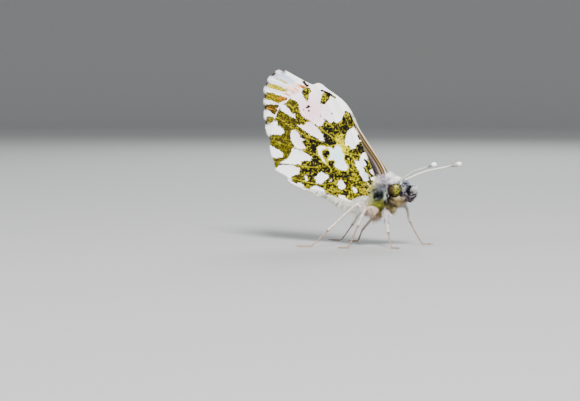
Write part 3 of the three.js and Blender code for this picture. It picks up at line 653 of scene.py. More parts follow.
HINDWING_RADIUS = [[0, -0.4, 0.6], [0.22, -2.4, 2.7], [0.5, -4.8, 7], [0.75, -6.6, 10.9], [1, -9.4, 15.6]]
HINDWING_CUBITUS = [[0, -0.5, 0.1], [0.28, -4.4, 2.1], [0.42, -7.2, 4], [0.5, -8.6, 5.4]]
HINDWING = {
    "side": 1.2,
    "taper": 0.52,
    "flare": {"out": 0.25, "reach": 1.5, "x": 0.0, "z": 0.6},
    "root": (-0.4, 0.6),
    "bulges": [(-15.2, 3.4, 0.7, 0.4), (-14.5, 2.95, 0.45, 0.7), (-12.9, 1.8, 0.6, 0.3),
               (-11.7, 1.2, 0.6, 0.2)],
    "tassels": [(-11, 0.8, 1.4, 2.0), (-12.7, 1.75, 0.9, 1.7)],
    "notches": [(-9.4, 15.7), (-11.6, 14.6), (-13.9, 12.9), (-15.5, 10.9), (-16.3, 7.6), (-15.6, 4.5),
                (-13.5, 2.2), (-11.2, 0.9)],
    "lines": [
        {"own": [[0, -0.2, 2.2], [0.33, -2.3, 7.1], [0.68, -4.8, 12.5], [1, -8.3, 15.4]]},
        {"own": [[0, -0.35, 1.3], [0.3, -2.6, 5.5], [0.66, -4.9, 11], [0.9, -7.2, 14.3]],
         "meets": 0, "meets_at": 0.9},
        {"own": HINDWING_RADIUS},
        {"own": [[0.5, -4.8, 7], [0.62, -7.1, 8.3], [0.8, -10.3, 10.6], [1, -13.9, 12.9]],
         "stem": HINDWING_RADIUS, "leaves": 0.5},
        {"own": [[0, -0.45, 0.35], [0.25, -3.1, 2.3], [0.5, -7.2, 6.8], [0.7, -10.7, 8.2], [1, -15.4, 10.9]],
         "hidden_to": 0.5},
        {"own": [[0.5, -8.6, 5.4], [0.7, -11.6, 6.3], [1, -16.2, 7.6]],
         "stem": HINDWING_CUBITUS, "leaves": 0.5},
        {"own": [[0.42, -7.2, 4], [0.6, -9.8, 3.8], [1, -15.6, 4.5]],
         "stem": HINDWING_CUBITUS, "leaves": 0.42},
        {"own": [[0.3, -4.6, 2.2], [0.6, -8.4, 1.4], [1, -13.5, 2.25]],
         "stem": HINDWING_CUBITUS, "leaves": 0.3},
        {"own": [[0, -0.5, -0.4], [0.35, -3.6, -1.1], [0.7, -7.3, 0.2], [1, -11.2, 1]]},
        {"own": [[0, -0.5, -0.9], [0.2, -1.9, -1.85], [0.42, -3.9, -1.75], [0.75, -7.2, -0.45],
                 [1, -9.9, 0.5]]},
    ],
}

# The plain patches of the hindwing's underside, each drawn round its corners as (x, height). A
# patch of the marbled kind is cut out of the plain ones before it in the list.
PLAIN, MARBLED = 1, -1
HINDWING_PATCHES = [
    (PLAIN, [(-4.1, 11.4), (-4.9, 11.9), (-5.1, 11.2), (-5.5, 10.4), (-6.1, 10.2), (-6.7, 10.3), (-7.2, 10.1),
             (-7.6, 10.5), (-8.1, 10.3), (-8.4, 9.7), (-9, 9.6), (-9.8, 10.2), (-10.3, 10.5), (-11, 10.7),
             (-11.6, 11.3), (-11.8, 11.9), (-12, 12.7), (-12.4, 13.2), (-13.4, 13.6), (-12, 15),
             (-10.9, 15.6), (-9.9, 16.2), (-8.2, 16), (-6, 15), (-4.6, 13.5)]),
    (MARBLED, [(-11.5, 14.7), (-10.9, 15.1), (-10.4, 15.1), (-10.1, 14.6), (-10.5, 13.9), (-10.4, 13.4),
               (-10.7, 13.1), (-11.3, 13.9)]),
    (MARBLED, [(-8.4, 14.3), (-8, 14.5), (-7.2, 13.9), (-7.5, 13.3), (-8, 12.7), (-8.7, 12.9), (-8.5, 13.6)]),
    (PLAIN, [(-14.8, 12.4), (-14.1, 12.7), (-13.4, 12), (-12.9, 11.4), (-12.4, 11.4), (-12.4, 10.7),
             (-13, 10.9), (-13.9, 11.4), (-14.7, 11.9)]),
    (PLAIN, [(-16.9, 8.9), (-16.5, 10.2), (-15.2, 10.3), (-15.1, 9.7), (-14.4, 9.3), (-14.1, 8.7),
             (-14.7, 8.3), (-15.8, 8.4), (-16.7, 8.2)]),
    (PLAIN, [(-12.5, 9.2), (-12, 8.7), (-11.6, 8.1), (-10.8, 7.6), (-11.5, 7.5), (-10.7, 6.5), (-11.5, 6.3),
             (-12.4, 6.6), (-13.1, 7.6), (-13.2, 8.3), (-13, 9)]),
    (PLAIN, [(-12.2, 9.8), (-11, 9.8), (-10.8, 10.2), (-9.9, 10.3), (-9.1, 9.5), (-8.1, 8.2), (-8, 7.4),
             (-8.6, 7.6), (-9.4, 8.1), (-10.3, 8.5), (-11.5, 9.3)]),
    (PLAIN, [(-4.8, 8.2), (-4.5, 9), (-3.6, 9.7), (-3, 8.8), (-2.7, 8.2), (-2.1, 7.8), (-3.1, 7.2),
             (-3.4, 6.5), (-3.9, 6.4), (-4.2, 6.9), (-4.8, 6.9), (-4.9, 7.8)]),
    (PLAIN, [(-3.4, 4.8), (-2.7, 4.8), (-2.5, 5.7), (-1.9, 6.1), (-1.3, 5.6), (-1.5, 4.9), (-1.7, 4.6),
             (-1.7, 4.1), (-2.1, 3.9), (-1.9, 3.3), (-1.4, 3), (-1.3, 2.3), (-1.6, 1.9), (-2.2, 2.1),
             (-2.6, 2.9), (-2.8, 3.6), (-3.2, 4.1)]),
    (PLAIN, [(-1.2, 3.5), (-0.6, 4), (-0.1, 3.3), (-0.8, 2.7)]),
    (PLAIN, [(-1.1, 2.4), (-0.2, 2.8), (0.1, 2.3), (-0.3, 1.8), (-1, 2)]),
    (PLAIN, [(-7.5, 6.7), (-7, 6.7), (-6.5, 6.3), (-6.3, 6.9), (-5.8, 7), (-5.4, 6.6), (-5.3, 6), (-5, 5.7),
             (-5.1, 5), (-4.8, 4.4), (-4.4, 4.2), (-4.5, 3.6), (-4.8, 3.4), (-5.4, 3.5), (-6.3, 3.9),
             (-6.5, 4.3), (-6.2, 4.5), (-6.5, 5), (-7.6, 4.8), (-7, 5.7)]),
    (PLAIN, [(-9.1, 6.5), (-8.7, 6.9), (-8, 6.9), (-7.7, 6.5), (-8.4, 6.2), (-8.3, 5.5), (-7.7, 4.3),
             (-8.3, 4.9), (-8.8, 5.6)]),
    (PLAIN, [(-9.5, 2.4), (-8.4, 3.2), (-7.4, 2.7), (-7.3, 2.4), (-7.9, 1.9), (-8.3, 1.4), (-9.2, 1.6),
             (-9.3, 2.1)]),
    (PLAIN, [(-6.1, 1.5), (-5.8, 1.9), (-5.3, 2.1), (-4.9, 1.7), (-4.8, 1), (-5.3, 0.7), (-5.8, 0.9)]),
    (PLAIN, [(-3.8, 0.9), (-3.5, 1.1), (-3, 0.8), (-3, 0.3), (-3.5, 0.3)]),
    (PLAIN, [(-12.9, 6.5), (-11.3, 6.1), (-9.8, 5.2), (-10, 4.7), (-10.9, 4.7), (-11.5, 4.6), (-11.5, 4.1),
             (-13.3, 4.2), (-14.9, 4.2), (-13.5, 5.1), (-13.1, 5.7)]),
    (PLAIN, [(-14.9, 4), (-13.3, 4.1), (-11.7, 3.7), (-11.8, 2.8), (-13.8, 2.2), (-15.8, 2.9)]),
    (PLAIN, [(-16.5, 6.9), (-15.6, 6.5), (-14.3, 5.8), (-14.3, 5.1), (-15.6, 5), (-16.5, 5.4)]),
    (PLAIN, [(-10.4, 0.6), (-9.5, 1.2), (-8.7, 1), (-7.9, 0.7), (-7.8, 0.2), (-8.2, -0.4), (-9, -0.2),
             (-10, 0.3)]),
    (PLAIN, [(-5.8, -0.1), (-5, -0.1), (-4.3, -0.7), (-3.6, -1), (-3.4, -1.9), (-4.3, -1.7), (-5.4, -1.2)]),
    (PLAIN, [(-10.8, 2.8), (-10.6, 2.4), (-10.5, 1.8), (-10.8, 1.7), (-10.9, 2.2)]),
    (PLAIN, [(-6.8, 2.2), (-6.6, 2.1), (-7, 1.7), (-7.2, 1.8)]),
    (PLAIN, [(-12, 1.6), (-11.4, 1.5), (-11.1, 1.2), (-11.1, 0.6), (-11.6, 0.5), (-12.3, 1.2)]),
    (PLAIN, [(-13.8, 2.4), (-13, 2.4), (-12.9, 1.8), (-13.2, 1.2), (-13.9, 1.7)]),
]
# Lone dark specks on the plain patches, as (x, height, radius).
SPECKS = [
    (-10.45, 12.4, 0.22), (-10.75, 12.25, 0.13), (-10, 12.45, 0.07), (-10.4, 11.8, 0.16),
    (-11.2, 11.95, 0.11), (-8.62, 11.25, 0.1), (-8.62, 10.98, 0.11), (-8, 10.55, 0.1),
    (-6.86, 11.43, 0.13), (-7.8, 11.3, 0.06),
    (-9.2, 13.1, 0.07), (-8.57, 12.4, 0.06), (-9.1, 12.14, 0.05), (-8.05, 12.4, 0.04), (-9.78, 10.55, 0.06),
    (-9.3, 9.8, 0.1), (-8.3, 10.8, 0.06),
]
# Dark streaks by the front edge, as two ends and a half-width.
STREAKS = [
    # Partly painted shadow: the streaks from (-8.45, 14.68) and (-7.45, 14.3) are the dark front edge
    # together with the shadow in the gap under the forewing's edge.
    ((-4.2, 11.45), (-3.9, 10.75), 0.12), ((-8.45, 14.68), (-7.3, 14.2), 0.11),
    ((-7.45, 14.3), (-6.4, 13.65), 0.1),
    ((-2.95, 8.4), (-2.7, 7.9), 0.1), ((-1.95, 4.95), (-1.5, 4.5), 0.12), ((-1.15, 3.1), (-0.75, 2.7), 0.11),
    ((-1.0, 2.1), (-0.75, 1.95), 0.08),
]
# Places where the speckles run together or thin out, as (x, height, radius, how much more).
THICK_PLACES = [
    (-7.6, 7.3, 0.7, 0.4), (-6.6, 6.9, 0.5, 0.3), (-9.3, 7.3, 0.9, 0.16), (-10.2, 6.2, 0.8, 0.08),
    (-4.8, 3.1, 0.7, 0.2), (-7.7, 5.7, 0.5, 0.3), (-6.9, 4.4, 0.45, 0.28), (-4.8, 5.2, 0.4, 0.25),
    (-9.4, 4.7, 0.7, 0.15), (-3.0, 6.3, 0.8, 0.1), (-4.3, 9.9, 0.8, 0.1), (-1.4, 3.8, 0.3, 0.25),
    (-7.4, 8.9, 0.7, 0.2), (-5.7, 9.2, 0.7, 0.12), (-9.5, 3.4, 1.8, 0.1), (-6.2, 2.8, 1.0, 0.1),
    (-5.7, 8, 0.5, -0.3), (-4.9, 6.8, 0.4, -0.32), (-4.6, 5.9, 0.25, -0.25), (-3.4, 2.7, 0.6, -0.1),
    (-5.4, 3.6, 0.4, -0.2), (-1.6, 0.8, 0.9, -0.1),
]
EVEN_SPECKLES = 0.49              # how thick the speckles lie away from those places
RIMMED = (11, 12)                 # which of the patches have a clear yellow rim
# Soft round tints, as (share, x, height, radius, screen colour).
PLAIN_TINTS = [
    (1, -10.2, 11.6, 2.6, (242, 198, 210)), (0.8, -11.2, 8.2, 1.6, (244, 216, 228)),
    (1, -6.0, 5.4, 1.3, (200, 236, 240)), (0.9, -1.7, 2.6, 1.0, (196, 202, 224)),
    (0.8, -4.3, -1.2, 1.3, (206, 200, 150)), (0.6, -8.3, 0.6, 1.2, (204, 210, 226)),
]
MARBLED_TINTS = [
    (0.8, -2.8, 6.4, 1.2, (112, 101, 0)), (0.8, -4.3, 9.9, 1.0, (120, 108, 0)),
    (0.8, -1.0, 1.4, 0.8, (226, 214, 110)),
]


def line_at(wing, k, v):
    """Where a wing's line is at distance v along it, as (x, height). It is drawn onto its stem and
    onto the line it meets, so that it parts from them and joins them without a step."""
    line = wing["lines"][k]
    place = follow(line["own"], v)
    if "stem" in line:
        leaves = line["leaves"]
        if v <= leaves:
            return follow(line["stem"], v)
        gap = follow(line["stem"], leaves) - follow(line["own"], leaves)
        place = place + gap * falloff(v - leaves, JOIN)
    if "meets" in line:
        meets_at = line["meets_at"]
        if v >= meets_at:
            return line_at(wing, line["meets"], v)
        gap = line_at(wing, line["meets"], meets_at) - follow(line["own"], meets_at)
        place = place + gap * falloff(meets_at - v, JOIN)
    return place


def along_line(wing, k, start, end, count):
    return np.array([line_at(wing, k, v) for v in np.linspace(start, end, count)])


def wing_ring(wing, v):
    """Even points across the wing at v, from the front edge to the inner margin, and how far each
    is between two vein ends, 0 at a vein. They run straight from vein to vein, and in a smooth
    curve near the margin."""
    crests = [line_at(wing, 0, v)]
    for k in range(1, len(wing["lines"])):
        crest = line_at(wing, k, v)
        if np.linalg.norm(crest - crests[-1]) > 1e-3:
            crests.append(crest)
    chords = reaches(crests)
    ring = read_columns(crests, chords, np.linspace(0, chords[-1], WING_COLUMNS + 1))
    if v > 0.9:
        ring += (evenly(crests, WING_COLUMNS + 1) - ring) * (v - 0.9) / 0.1
    reach = reaches(ring)
    ends = np.array([reach[np.linalg.norm(ring - crest, axis=1).argmin()] for crest in crests])
    slot = np.clip(np.searchsorted(ends, reach, side="right") - 1, 0, len(ends) - 2)
    width = np.maximum(ends[slot + 1] - ends[slot], 1e-6)
    return ring, (reach - ends[slot]) / width, width


def wing_net(wing):
    """The wing's points by row and column, with the margin bowed out between the vein ends."""
    rows, bowed = [], []
    for r in range(WING_ROWS + 1):
        ring, between, width = wing_ring(wing, r / WING_ROWS)
        outward = unit(ring - rows[-1]) if rows else np.zeros_like(ring)
        bow = SCALLOP * np.sin(np.pi * np.clip(between, 0, 1)) ** 0.7 * np.minimum(width / 2, 1)
        for x, z, radius, out in wing["bulges"]:
            bow = bow + out * glow(ring, x, z, radius)
        rows.append(ring)
        bowed.append(ring + outward * (bow * (r / WING_ROWS) ** 20)[:, None])
    return np.array(bowed)


def wing_side(wing, x, z):
    """How far from the body's mid-plane the wing is at (x, height)."""
    flare = wing["flare"]
    distance = np.hypot(x - flare["x"], z - flare["z"])
    near_root = flare["out"] * falloff(distance, flare["reach"])
    return wing["side"] + near_root - wing["taper"] * (distance / 16) ** 1.5


def vein_places(wing):
    """Points all along the wing's veins and the cross vein that closes the cell."""
    places = []
    for k in range(1, len(wing["lines"]) - 1):
        line = wing["lines"][k]
        start = line.get("leaves", line.get("hidden_to", 0))
        places.append(along_line(wing, k, start, line.get("meets_at", 1), 90))
    cell_end = [line_at(wing, k, 0.5) for k in (2, 4, 5)]
    return np.vstack([*places, evenly(cell_end, 30)])


def nearest(points, places):
    """The distance from each point to the nearest of the places."""
    result = np.empty(len(points))
    for start in range(0, len(points), 2000):
        block = points[start:start + 2000]
        result[start:start + 2000] = np.linalg.norm(block[:, None] - places[None], axis=2).min(axis=1)
    return result


def inside_by(points, corners):
    """How far inside a closed outline each point is; below 0 it is outside."""
    corners = np.array(corners, float)
    distance = np.full(len(points), 1e9)
    inside = np.zeros(len(points), bool)
    for a, b in zip(corners, np.roll(corners, -1, axis=0)):
        edge = b - a
        distance = np.minimum(distance, from_line(points, a, b))
        crosses = (a[1] > points[:, 1]) != (b[1] > points[:, 1])
        rise = np.where(crosses, points[:, 1] - a[1], 0) / (edge[1] or 1)
        inside ^= crosses & (points[:, 0] < a[0] + rise * edge[0])
    return np.where(inside, distance, -distance)


def glow(points, x, z, radius):
    """1 at a place, falling off smoothly round it."""
    return falloff(np.hypot(points[:, 0] - x, points[:, 1] - z), radius)


def from_line(points, start, end):
    """The distance from each point to a straight line between two places."""
    start, end = np.array(start, float), np.array(end, float)
    edge = end - start
    share = np.clip(((points - start) @ edge) / (edge @ edge), 0, 1)
    return np.linalg.norm(points - start - share[:, None] * edge, axis=1)


def near_line(points, start, end, width):
    """1 along a straight line between two places, falling off to its sides."""
    return falloff(from_line(points, start, end), width)


def tinted(base, points, tints):
    for share, x, z, radius, screen in tints:
        base = dye(base, share * glow(points, x, z, radius), *screen)
    return base


def pack_marks(inside, thickness, veins):
    return np.column_stack([np.clip(PLAIN_EDGE + inside / 2, 0, 1), np.clip(thickness, 0, 1), veins])


def hindwing_under(points, veins):
    """The marbled side that shows when the wings are closed."""
    inside = np.full(len(points), -3.0)
    thickness = np.full(len(points), EVEN_SPECKLES)
    for number, (kind, corners) in enumerate(HINDWING_PATCHES):
        patch = inside_by(points, corners)
        inside = np.maximum(inside, patch) if kind == PLAIN else np.minimum(inside, -patch)
        if number in RIMMED:
            thickness -= 0.45 * falloff(patch, 0.16)
    for x, z, radius, more in THICK_PLACES:
        thickness += more * glow(points, x, z, radius)
    outer = ramp(-points[:, 0], 10.8, 2.2)
    plain = tinted(all_over(points, 250, 248, 251), points, PLAIN_TINTS)
    front = along_line(HINDWING, 0, 0.0, 0.5, 160)
    plain = dye(plain, 0.9 * falloff(nearest(points, front), 0.16), 216, 190, 130)
    ground = dye(all_over(points, 168, 157, 0), glow(points, -5.4, 6.0, 2.0), 234, 224, 0)
    ground = tinted(dye(ground, outer, 122, 114, 0), points, MARBLED_TINTS)
    speckle = dye(all_over(points, 5, 4, 1), 0.85 * outer, 46, 40, 0)
    spots = [(radius - np.hypot(points[:, 0] - x, points[:, 1] - z), 8, 0.8, (40, 14, 22))
             for x, z, radius in SPECKS]
    spots += [(width - from_line(points, start, end), 1, 0, (14, 8, 14)) for start, end, width in STREAKS]
    for spot, crispness, halo, screen in spots:
        inside = np.minimum(inside, -crispness * spot)
        near = np.clip(spot / 0.08 + 0.6, 0, 1)
        thickness += 0.8 * near
        ground = dye(ground, halo * near, 90, 50, 40)
        speckle = dye(speckle, near, *screen)
    return plain, ground, speckle, pack_marks(inside, thickness, veins)


def hindwing_upper(points, veins):
    """White, with the marbling of the other side showing through as a faint grey."""
    _, _, _, marks = hindwing_under(points, veins)
    marks[:, 1] = 0
    ground = all_over(points, 206, 208, 196)
    return all_over(points, 240, 240, 236), ground, ground, marks


# The forewing's marbled rays and dark streaks: corners as (x, height), ground colour, how thick
# the speckles lie, and their colour.
FOREWING_PATCHES = [
    ([(-15.5, 16.56), (-14.9, 16.35), (-14.2, 16), (-13.6, 15.65), (-13.7, 15.48), (-14.3, 15.78),
      (-15, 16.13), (-15.6, 16.38)], (190, 178, 50), 0.12, (128, 118, 10)),
    ([(-16.8, 15.6), (-15.9, 15.6), (-15.3, 15.4), (-14.6, 15.1), (-13.9, 14.8), (-13.85, 14.5),
      (-14.5, 14.52), (-15.3, 14.68), (-16, 14.9), (-16.8, 15.15)], (190, 174, 10), 0.32, (116, 106, 0)),
    ([(-17.1, 14.45), (-16, 14.35), (-15.3, 14.02), (-14.7, 13.88), (-14, 13.72), (-13.7, 13.4),
      (-14.1, 13.15), (-14.8, 13), (-15.1, 12.8), (-15.6, 13), (-16.2, 13.2), (-17.1, 13.4)],
     (168, 152, 0), 0.42, (70, 60, 0)),
    ([(-17.1, 12.75), (-15.9, 12.68), (-15.1, 12.6), (-15, 12.3), (-15.5, 12.1), (-15.3, 11.8),
      (-15.7, 11.2), (-16.1, 11.3), (-16.5, 11.7), (-17.1, 12.1)], (130, 106, 0), 0.5, (50, 38, 0)),
    ([(-17.1, 10.9), (-16, 11), (-15.8, 10.5), (-16.2, 10), (-17.1, 9.9)], (128, 118, 30), 0.4, (56, 48, 6)),
    ([(-11.55, 16.12), (-11.25, 16.05), (-10.6, 15.32), (-10.65, 15.02), (-11.05, 15.25), (-11.45, 15.8)],
     (110, 84, 0), 0.6, (14, 8, 4)),
    ([(-11.05, 16.3), (-10.7, 16.05), (-10.5, 15.7), (-10.85, 15.8)], (96, 60, 0), 0.55, (14, 8, 4)),
    ([(-11.9, 15.6), (-11.5, 15.48), (-11, 15.05), (-11.1, 14.82), (-11.5, 14.94), (-11.8, 15.25)],
     (200, 102, 0), 0.3, (100, 56, 0)),
    # Partly painted shadow: these two dark streaks are the forewing's dark front edge together with the
    # shadow in the gap where the hindwing's edge lies against it.
    ([(-8.7, 14.65), (-8.4, 14.58), (-7.4, 14.1), (-6.8, 13.74), (-6.9, 13.58), (-7.5, 13.8), (-8.1, 14.13)],
     (22, 14, 16), 0, (10, 8, 8)),
    ([(-8.1, 14.95), (-7.5, 14.76), (-6.9, 14.35), (-6.2, 13.8), (-6.6, 13.95), (-7.2, 14.22), (-7.9, 14.65)],
     (22, 14, 20), 0, (10, 8, 8)),
    ([(-11.75, 16.6), (-11.45, 16.5), (-11.3, 16.2), (-11.6, 16.3)], (20, 12, 14), 0, (10, 8, 8)),
]
# Streaks in the rays, and soft washes of colour and of painted shade over the rest of the forewing:
# each is a line between two places with its half-width and screen colour.
FOREWING_STREAKS = [
    ((-17, 14.2), (-14.8, 13.65), 0.07, (60, 50, 0)), ((-17, 13.75), (-15, 13.25), 0.06, (70, 56, 0)),
    ((-15.0, 13.75), (-13.9, 13.5), 0.07, (216, 128, 0)), ((-17, 12.5), (-15.2, 12.4), 0.06, (70, 44, 0)),
    ((-17, 12.2), (-15.5, 11.9), 0.07, (208, 98, 0)), ((-16.9, 11.8), (-15.7, 11.4), 0.06, (64, 44, 0)),
    ((-16.6, 15.35), (-14.4, 14.8), 0.06, (226, 214, 60)),
]
FOREWING_WASHES = [
    # Painted shade: these blue-grey washes and thin blue-grey lines darken the white tip where it lies in
    # shade.
    ((-15.4, 16.8), (-13.2, 15.9), 0.5, (196, 204, 228)),
    ((-16.5, 16.1), (-14.2, 15.3), 0.13, (178, 188, 216)),
    ((-15.4, 17.0), (-13.2, 16.3), 0.06, (150, 162, 196)),
    ((-16.0, 16.5), (-14.2, 15.7), 0.05, (140, 152, 188)),
    ((-14.8, 17.2), (-13.4, 16.6), 0.05, (164, 172, 200)),
    ((-16.8, 15.85), (-14.4, 15.15), 0.05, (150, 160, 190)),
    ((-16.8, 14.85), (-14.0, 14.1), 0.06, (156, 166, 192)),
    ((-16.9, 13.0), (-15.0, 12.75), 0.05, (160, 168, 190)),
    ((-13.8, 15.15), (-12.3, 14.7), 0.3, (246, 196, 168)),
    ((-12.9, 15.4), (-11.7, 15.2), 0.22, (246, 206, 192)),
    ((-12.7, 15.0), (-12.1, 14.6), 0.1, (222, 126, 0)),
    ((-12.2, 15.5), (-11.6, 15.1), 0.1, (218, 120, 0)),
    ((-14.1, 14.3), (-13.5, 13.9), 0.16, (232, 136, 0)),
    ((-13.2, 14.6), (-12.5, 13.9), 0.32, (244, 190, 188)),
    ((-14.0, 15.0), (-13.7, 14.7), 0.07, (90, 56, 40)),
    ((-13.0, 14.6), (-12.8, 14.4), 0.06, (150, 96, 84)),
]
# The strip behind the forewing's front edge, and its lines: how far behind, half-width and colour.
STRIP_WIDTH = 0.95
STRIP_LINES = [
    (0.18, 0.07, (28, 13, 0)), (0.38, 0.07, (116, 92, 56)), (0.58, 0.11, (24, 13, 0)),
    (0.8, 0.06, (112, 88, 56)), (0.0, 0.08, (232, 214, 186)),
]


def forewing_under(points, veins):
    """White, with yellow-green rays and a breath of orange at the tip, a lined front edge, and painted shade
    behind it at the root.
    """
    inside = np.full(len(points), 3.0)
    thickness = np.zeros(len(points))
    plain = all_over(points, 250, 248, 252)
    ground, speckle = plain * 0.7, plain * 0.4
    for corners, screen, amount, dark in FOREWING_PATCHES:
        patch = inside_by(points, corners)
        inside = np.minimum(inside, -patch)
        near = (patch > -0.2).astype(float)
        ground = dye(ground, near, *screen)
        speckle = dye(speckle, near, *dark)
        thickness = np.where(near > 0, amount, thickness)
    ground = dye(ground, glow(points, -14.4, 13.45, 0.85), 192, 94, 0)
    for start, end, width, screen in FOREWING_STREAKS:
        ground = dye(ground, near_line(points, start, end, width), *screen)
    for start, end, width, screen in FOREWING_WASHES:
        plain = dye(plain, near_line(points, start, end, width), *screen)
    for x, z in FOREWING["notches"]:
        plain = dye(plain, 0.95 * glow(points, x, z, 0.4), 40, 28, 6)
    behind = nearest(points, along_line(FOREWING, 0, 0.02, 0.7, 200))
    basal = ramp(points[:, 0], -5.9, 1.2)
    strip = basal * falloff(behind, STRIP_WIDTH, 6)
    plain = dye(plain, strip, 78, 60, 36)
    plain = dye(plain, 0.6 * strip * ramp(-points[:, 0], 2.6, 1.2), 190, 176, 166)
    # Painted shadow: past the strip near the root, a dark grey-lilac stands for the shade in the recess
    # between the wings.
    plain = dye(plain, basal * ramp(behind, STRIP_WIDTH - 0.2, 0.2), 44, 36, 46)
    for place, width, screen in STRIP_LINES:
        plain = dye(plain, falloff(behind - place, width) * (0.25 + 0.75 * basal), *screen)
    return plain, ground, speckle, pack_marks(inside, thickness, veins * 0.6)


def forewing_upper(points, veins):
    """White at the root, bright orange over the outer half, with a dark tip and a dark cell spot."""
    root, tip = np.array([0.4, 2.0]), np.array([-16, 17.2])
    out = np.linalg.norm(points - root, axis=1)
    orange = ramp(out + 0.25 * (points[:, 1] - 10), 10.2, 0.6) * ramp(points[:, 1], 5.4, 0.8)
    plain = dye(all_over(points, 242, 240, 234), orange, 224, 116, 6)
    dark = np.clip(1.6 - 0.42 * np.linalg.norm(points - tip, axis=1), 0, 1)
    plain = dye(plain, dark, 58, 54, 52)
    behind = nearest(points, along_line(FOREWING, 0, 0, 0.8, 200))
    plain = dye(plain, falloff(behind, 0.55, 4), 236, 232, 222)
    plain = dye(plain, ramp(points[:, 0], -4.5, 2.5) * falloff(behind, 0.7, 4), 128, 104, 74)
    plain = dye(plain, glow(points, -6.3, 10.6, 0.45), 40, 36, 34)
    plain = dye(plain, 0.6 * glow(points, 0, 2.2, 1.2), 150, 148, 150)
    inside = np.full(len(points), 1.0)
    return plain, plain, plain, pack_marks(inside, inside * 0, veins * 0.2)


WING_LAYERS = ("paint", "ground", "speckle", "marks")
MAP_SPAN = 20                     # millimetres across a wing's half of the baked picture


def study_wing(wing, under, upper):
    """What the right and left wing share: the net, the height of its relief and its two paintings."""
    net = wing_net(wing)
    flat = net.reshape(-1, 2)
    distance = nearest(flat, vein_places(wing))
    fade = np.clip(1.3 - np.linalg.norm(flat - flat[0], axis=1) / 30, 0.4, 1)
    relief = RIDGE["height"] * fade * falloff(distance, RIDGE["width"])
    relief -= SAG["depth"] * (1 - falloff(distance, SAG["width"]))
    veins = falloff(distance, VEIN_WIDTH)
    return {
        "net": net,
        "side": wing_side(wing, flat[:, 0], flat[:, 1]) + relief,
        "under": under(flat, veins),
        "upper": upper(flat, veins),
    }


def lagged(study, wing):
    """The left wing's study: turned back a little about its root."""
    root = np.array(wing["root"])
    sine, cosine = math.sin(LAG), math.cos(LAG)
    turn = np.array([[cosine, sine], [-sine, cosine]])
    return {**study, "net": (study["net"] - root) @ turn + root}


def add_wing(name, node, study, sign, materials, slot):
    """A thin corrugated sheet: the veins stand out of the underside and the cells sag between."""
    net, sides = study["net"], study["side"]
    bm = bmesh.new()
    own = bm.verts.layers.int.new("place")
    bmesh.ops.create_grid(bm, x_segments=WING_COLUMNS, y_segments=WING_ROWS, size=0.5)
    for vert in bm.verts:
        row, column = round((vert.co.y + 0.5) * WING_ROWS), round((vert.co.x + 0.5) * WING_COLUMNS)
        vert[own] = row * (WING_COLUMNS + 1) + column
        x, z = net[row, column]
        vert.co = (x, sign * sides[vert[own]], z)
    for part in bmesh.ops.extrude_face_region(bm, geom=bm.faces[:])["geom"]:
        if isinstance(part, bmesh.types.BMVert):
            part.co.y -= sign * WING_THICKNESS
    bmesh.ops.recalc_face_normals(bm, faces=bm.faces)
    bm.normal_update()
    for face in bm.faces:
        face.material_index = 0 if face.normal.y * sign > -0.5 else 1
    for vert in bm.verts:
        vert.co = at_thorax(vert.co)
    mesh = add_piece(name, bm, materials, [node], slot)

    places = read_layer(mesh, "place", np.int32)
    index = corner_vertices(mesh)
    turned = np.zeros(len(places), bool)
    inner = np.zeros(len(index))
    for face in mesh.polygons:
        if face.material_index:
            turned[list(face.vertices)] = True
            inner[face.loop_start:face.loop_start + face.loop_total] = 1
    for layer, below, above in zip(WING_LAYERS, study["under"], study["upper"]):
        paint(mesh, layer, np.where(turned[:, None], above[places], below[places]))
    flat = net.reshape(-1, 2)
    place = (flat[places[index]] - flat.min(axis=0)) / MAP_SPAN
    keep_map(mesh, np.column_stack([0.01 + 0.48 * place[:, 0] + 0.5 * inner, 0.01 + 0.9 * place[:, 1]]))


def wing_roots(wing, sign, at, rise):
    """Where hair is rooted at places (x, height) of a wing, rise millimetres out from its net."""
    return np.column_stack([at[:, 0], sign * (wing_side(wing, at[:, 0], at[:, 1]) + rise), at[:, 1]])


def add_wing_hair(name, net, sign, look, at, coat):
    material, slot = look
    coat["out"] = np.tile([0.0, sign, 0.0], (len(at), 1))
    coat["map"] = 0.01 + 0.9 * (at - net.reshape(-1, 2).min(axis=0)) / MAP_SPAN
    add_hair(name, coat, material, slot)


def add_fringe(name, wing, net, sign, look, notch_screen, length, count, marbling=None):
    """Short pale scales all along the outer margin, dark where a vein ends, longer by a tassel and
    tinged where the marbling reaches the margin."""
    margin = net[-1]
    outward = unit(margin - net[-2])
    steps = np.arange(len(margin))
    share = np.sort(RANDOM.uniform(0, 1, count)) * WING_COLUMNS
    at, way = read_columns(margin, steps, share), read_columns(outward, steps, share)
    notch = falloff(nearest(at, np.array(wing["notches"])), 0.5, 4)
    tassel = np.zeros(count)
    for x, z, radius, more in wing["tassels"]:
        tassel += more * glow(at, x, z, radius)
    way = way + RANDOM.normal(0, 0.14, way.shape) + 0.9 * tassel[:, None] * np.array((-0.1, -1))
    lie = unit(np.column_stack([way[:, 0], RANDOM.normal(0, 0.07, count), way[:, 1]]))
    tint = all_over(at, 252, 249, 250)
    if marbling:
        _, ground, _, marks = marbling(at - 0.15 * unit(way), np.zeros(count))
        tint = wash(tint, 0.9 * (marks[:, 0] < PLAIN_EDGE) * np.clip(1 - 2 * tassel, 0, 1), ground)
    tint = dye(tint, notch * np.clip(1 - tassel, 0, 1), *notch_screen)
    add_wing_hair(name, net, sign, look, at, {
        "root": wing_roots(wing, sign, at, -WING_THICKNESS / 2) - lie * 0.06,
        "lie": lie,
        "length": spread(length * (1.1 - 0.35 * notch + tassel), 0.2),
        "width": widths(count, 0.08),
        "tint": varied(tint, 0.08),
    })


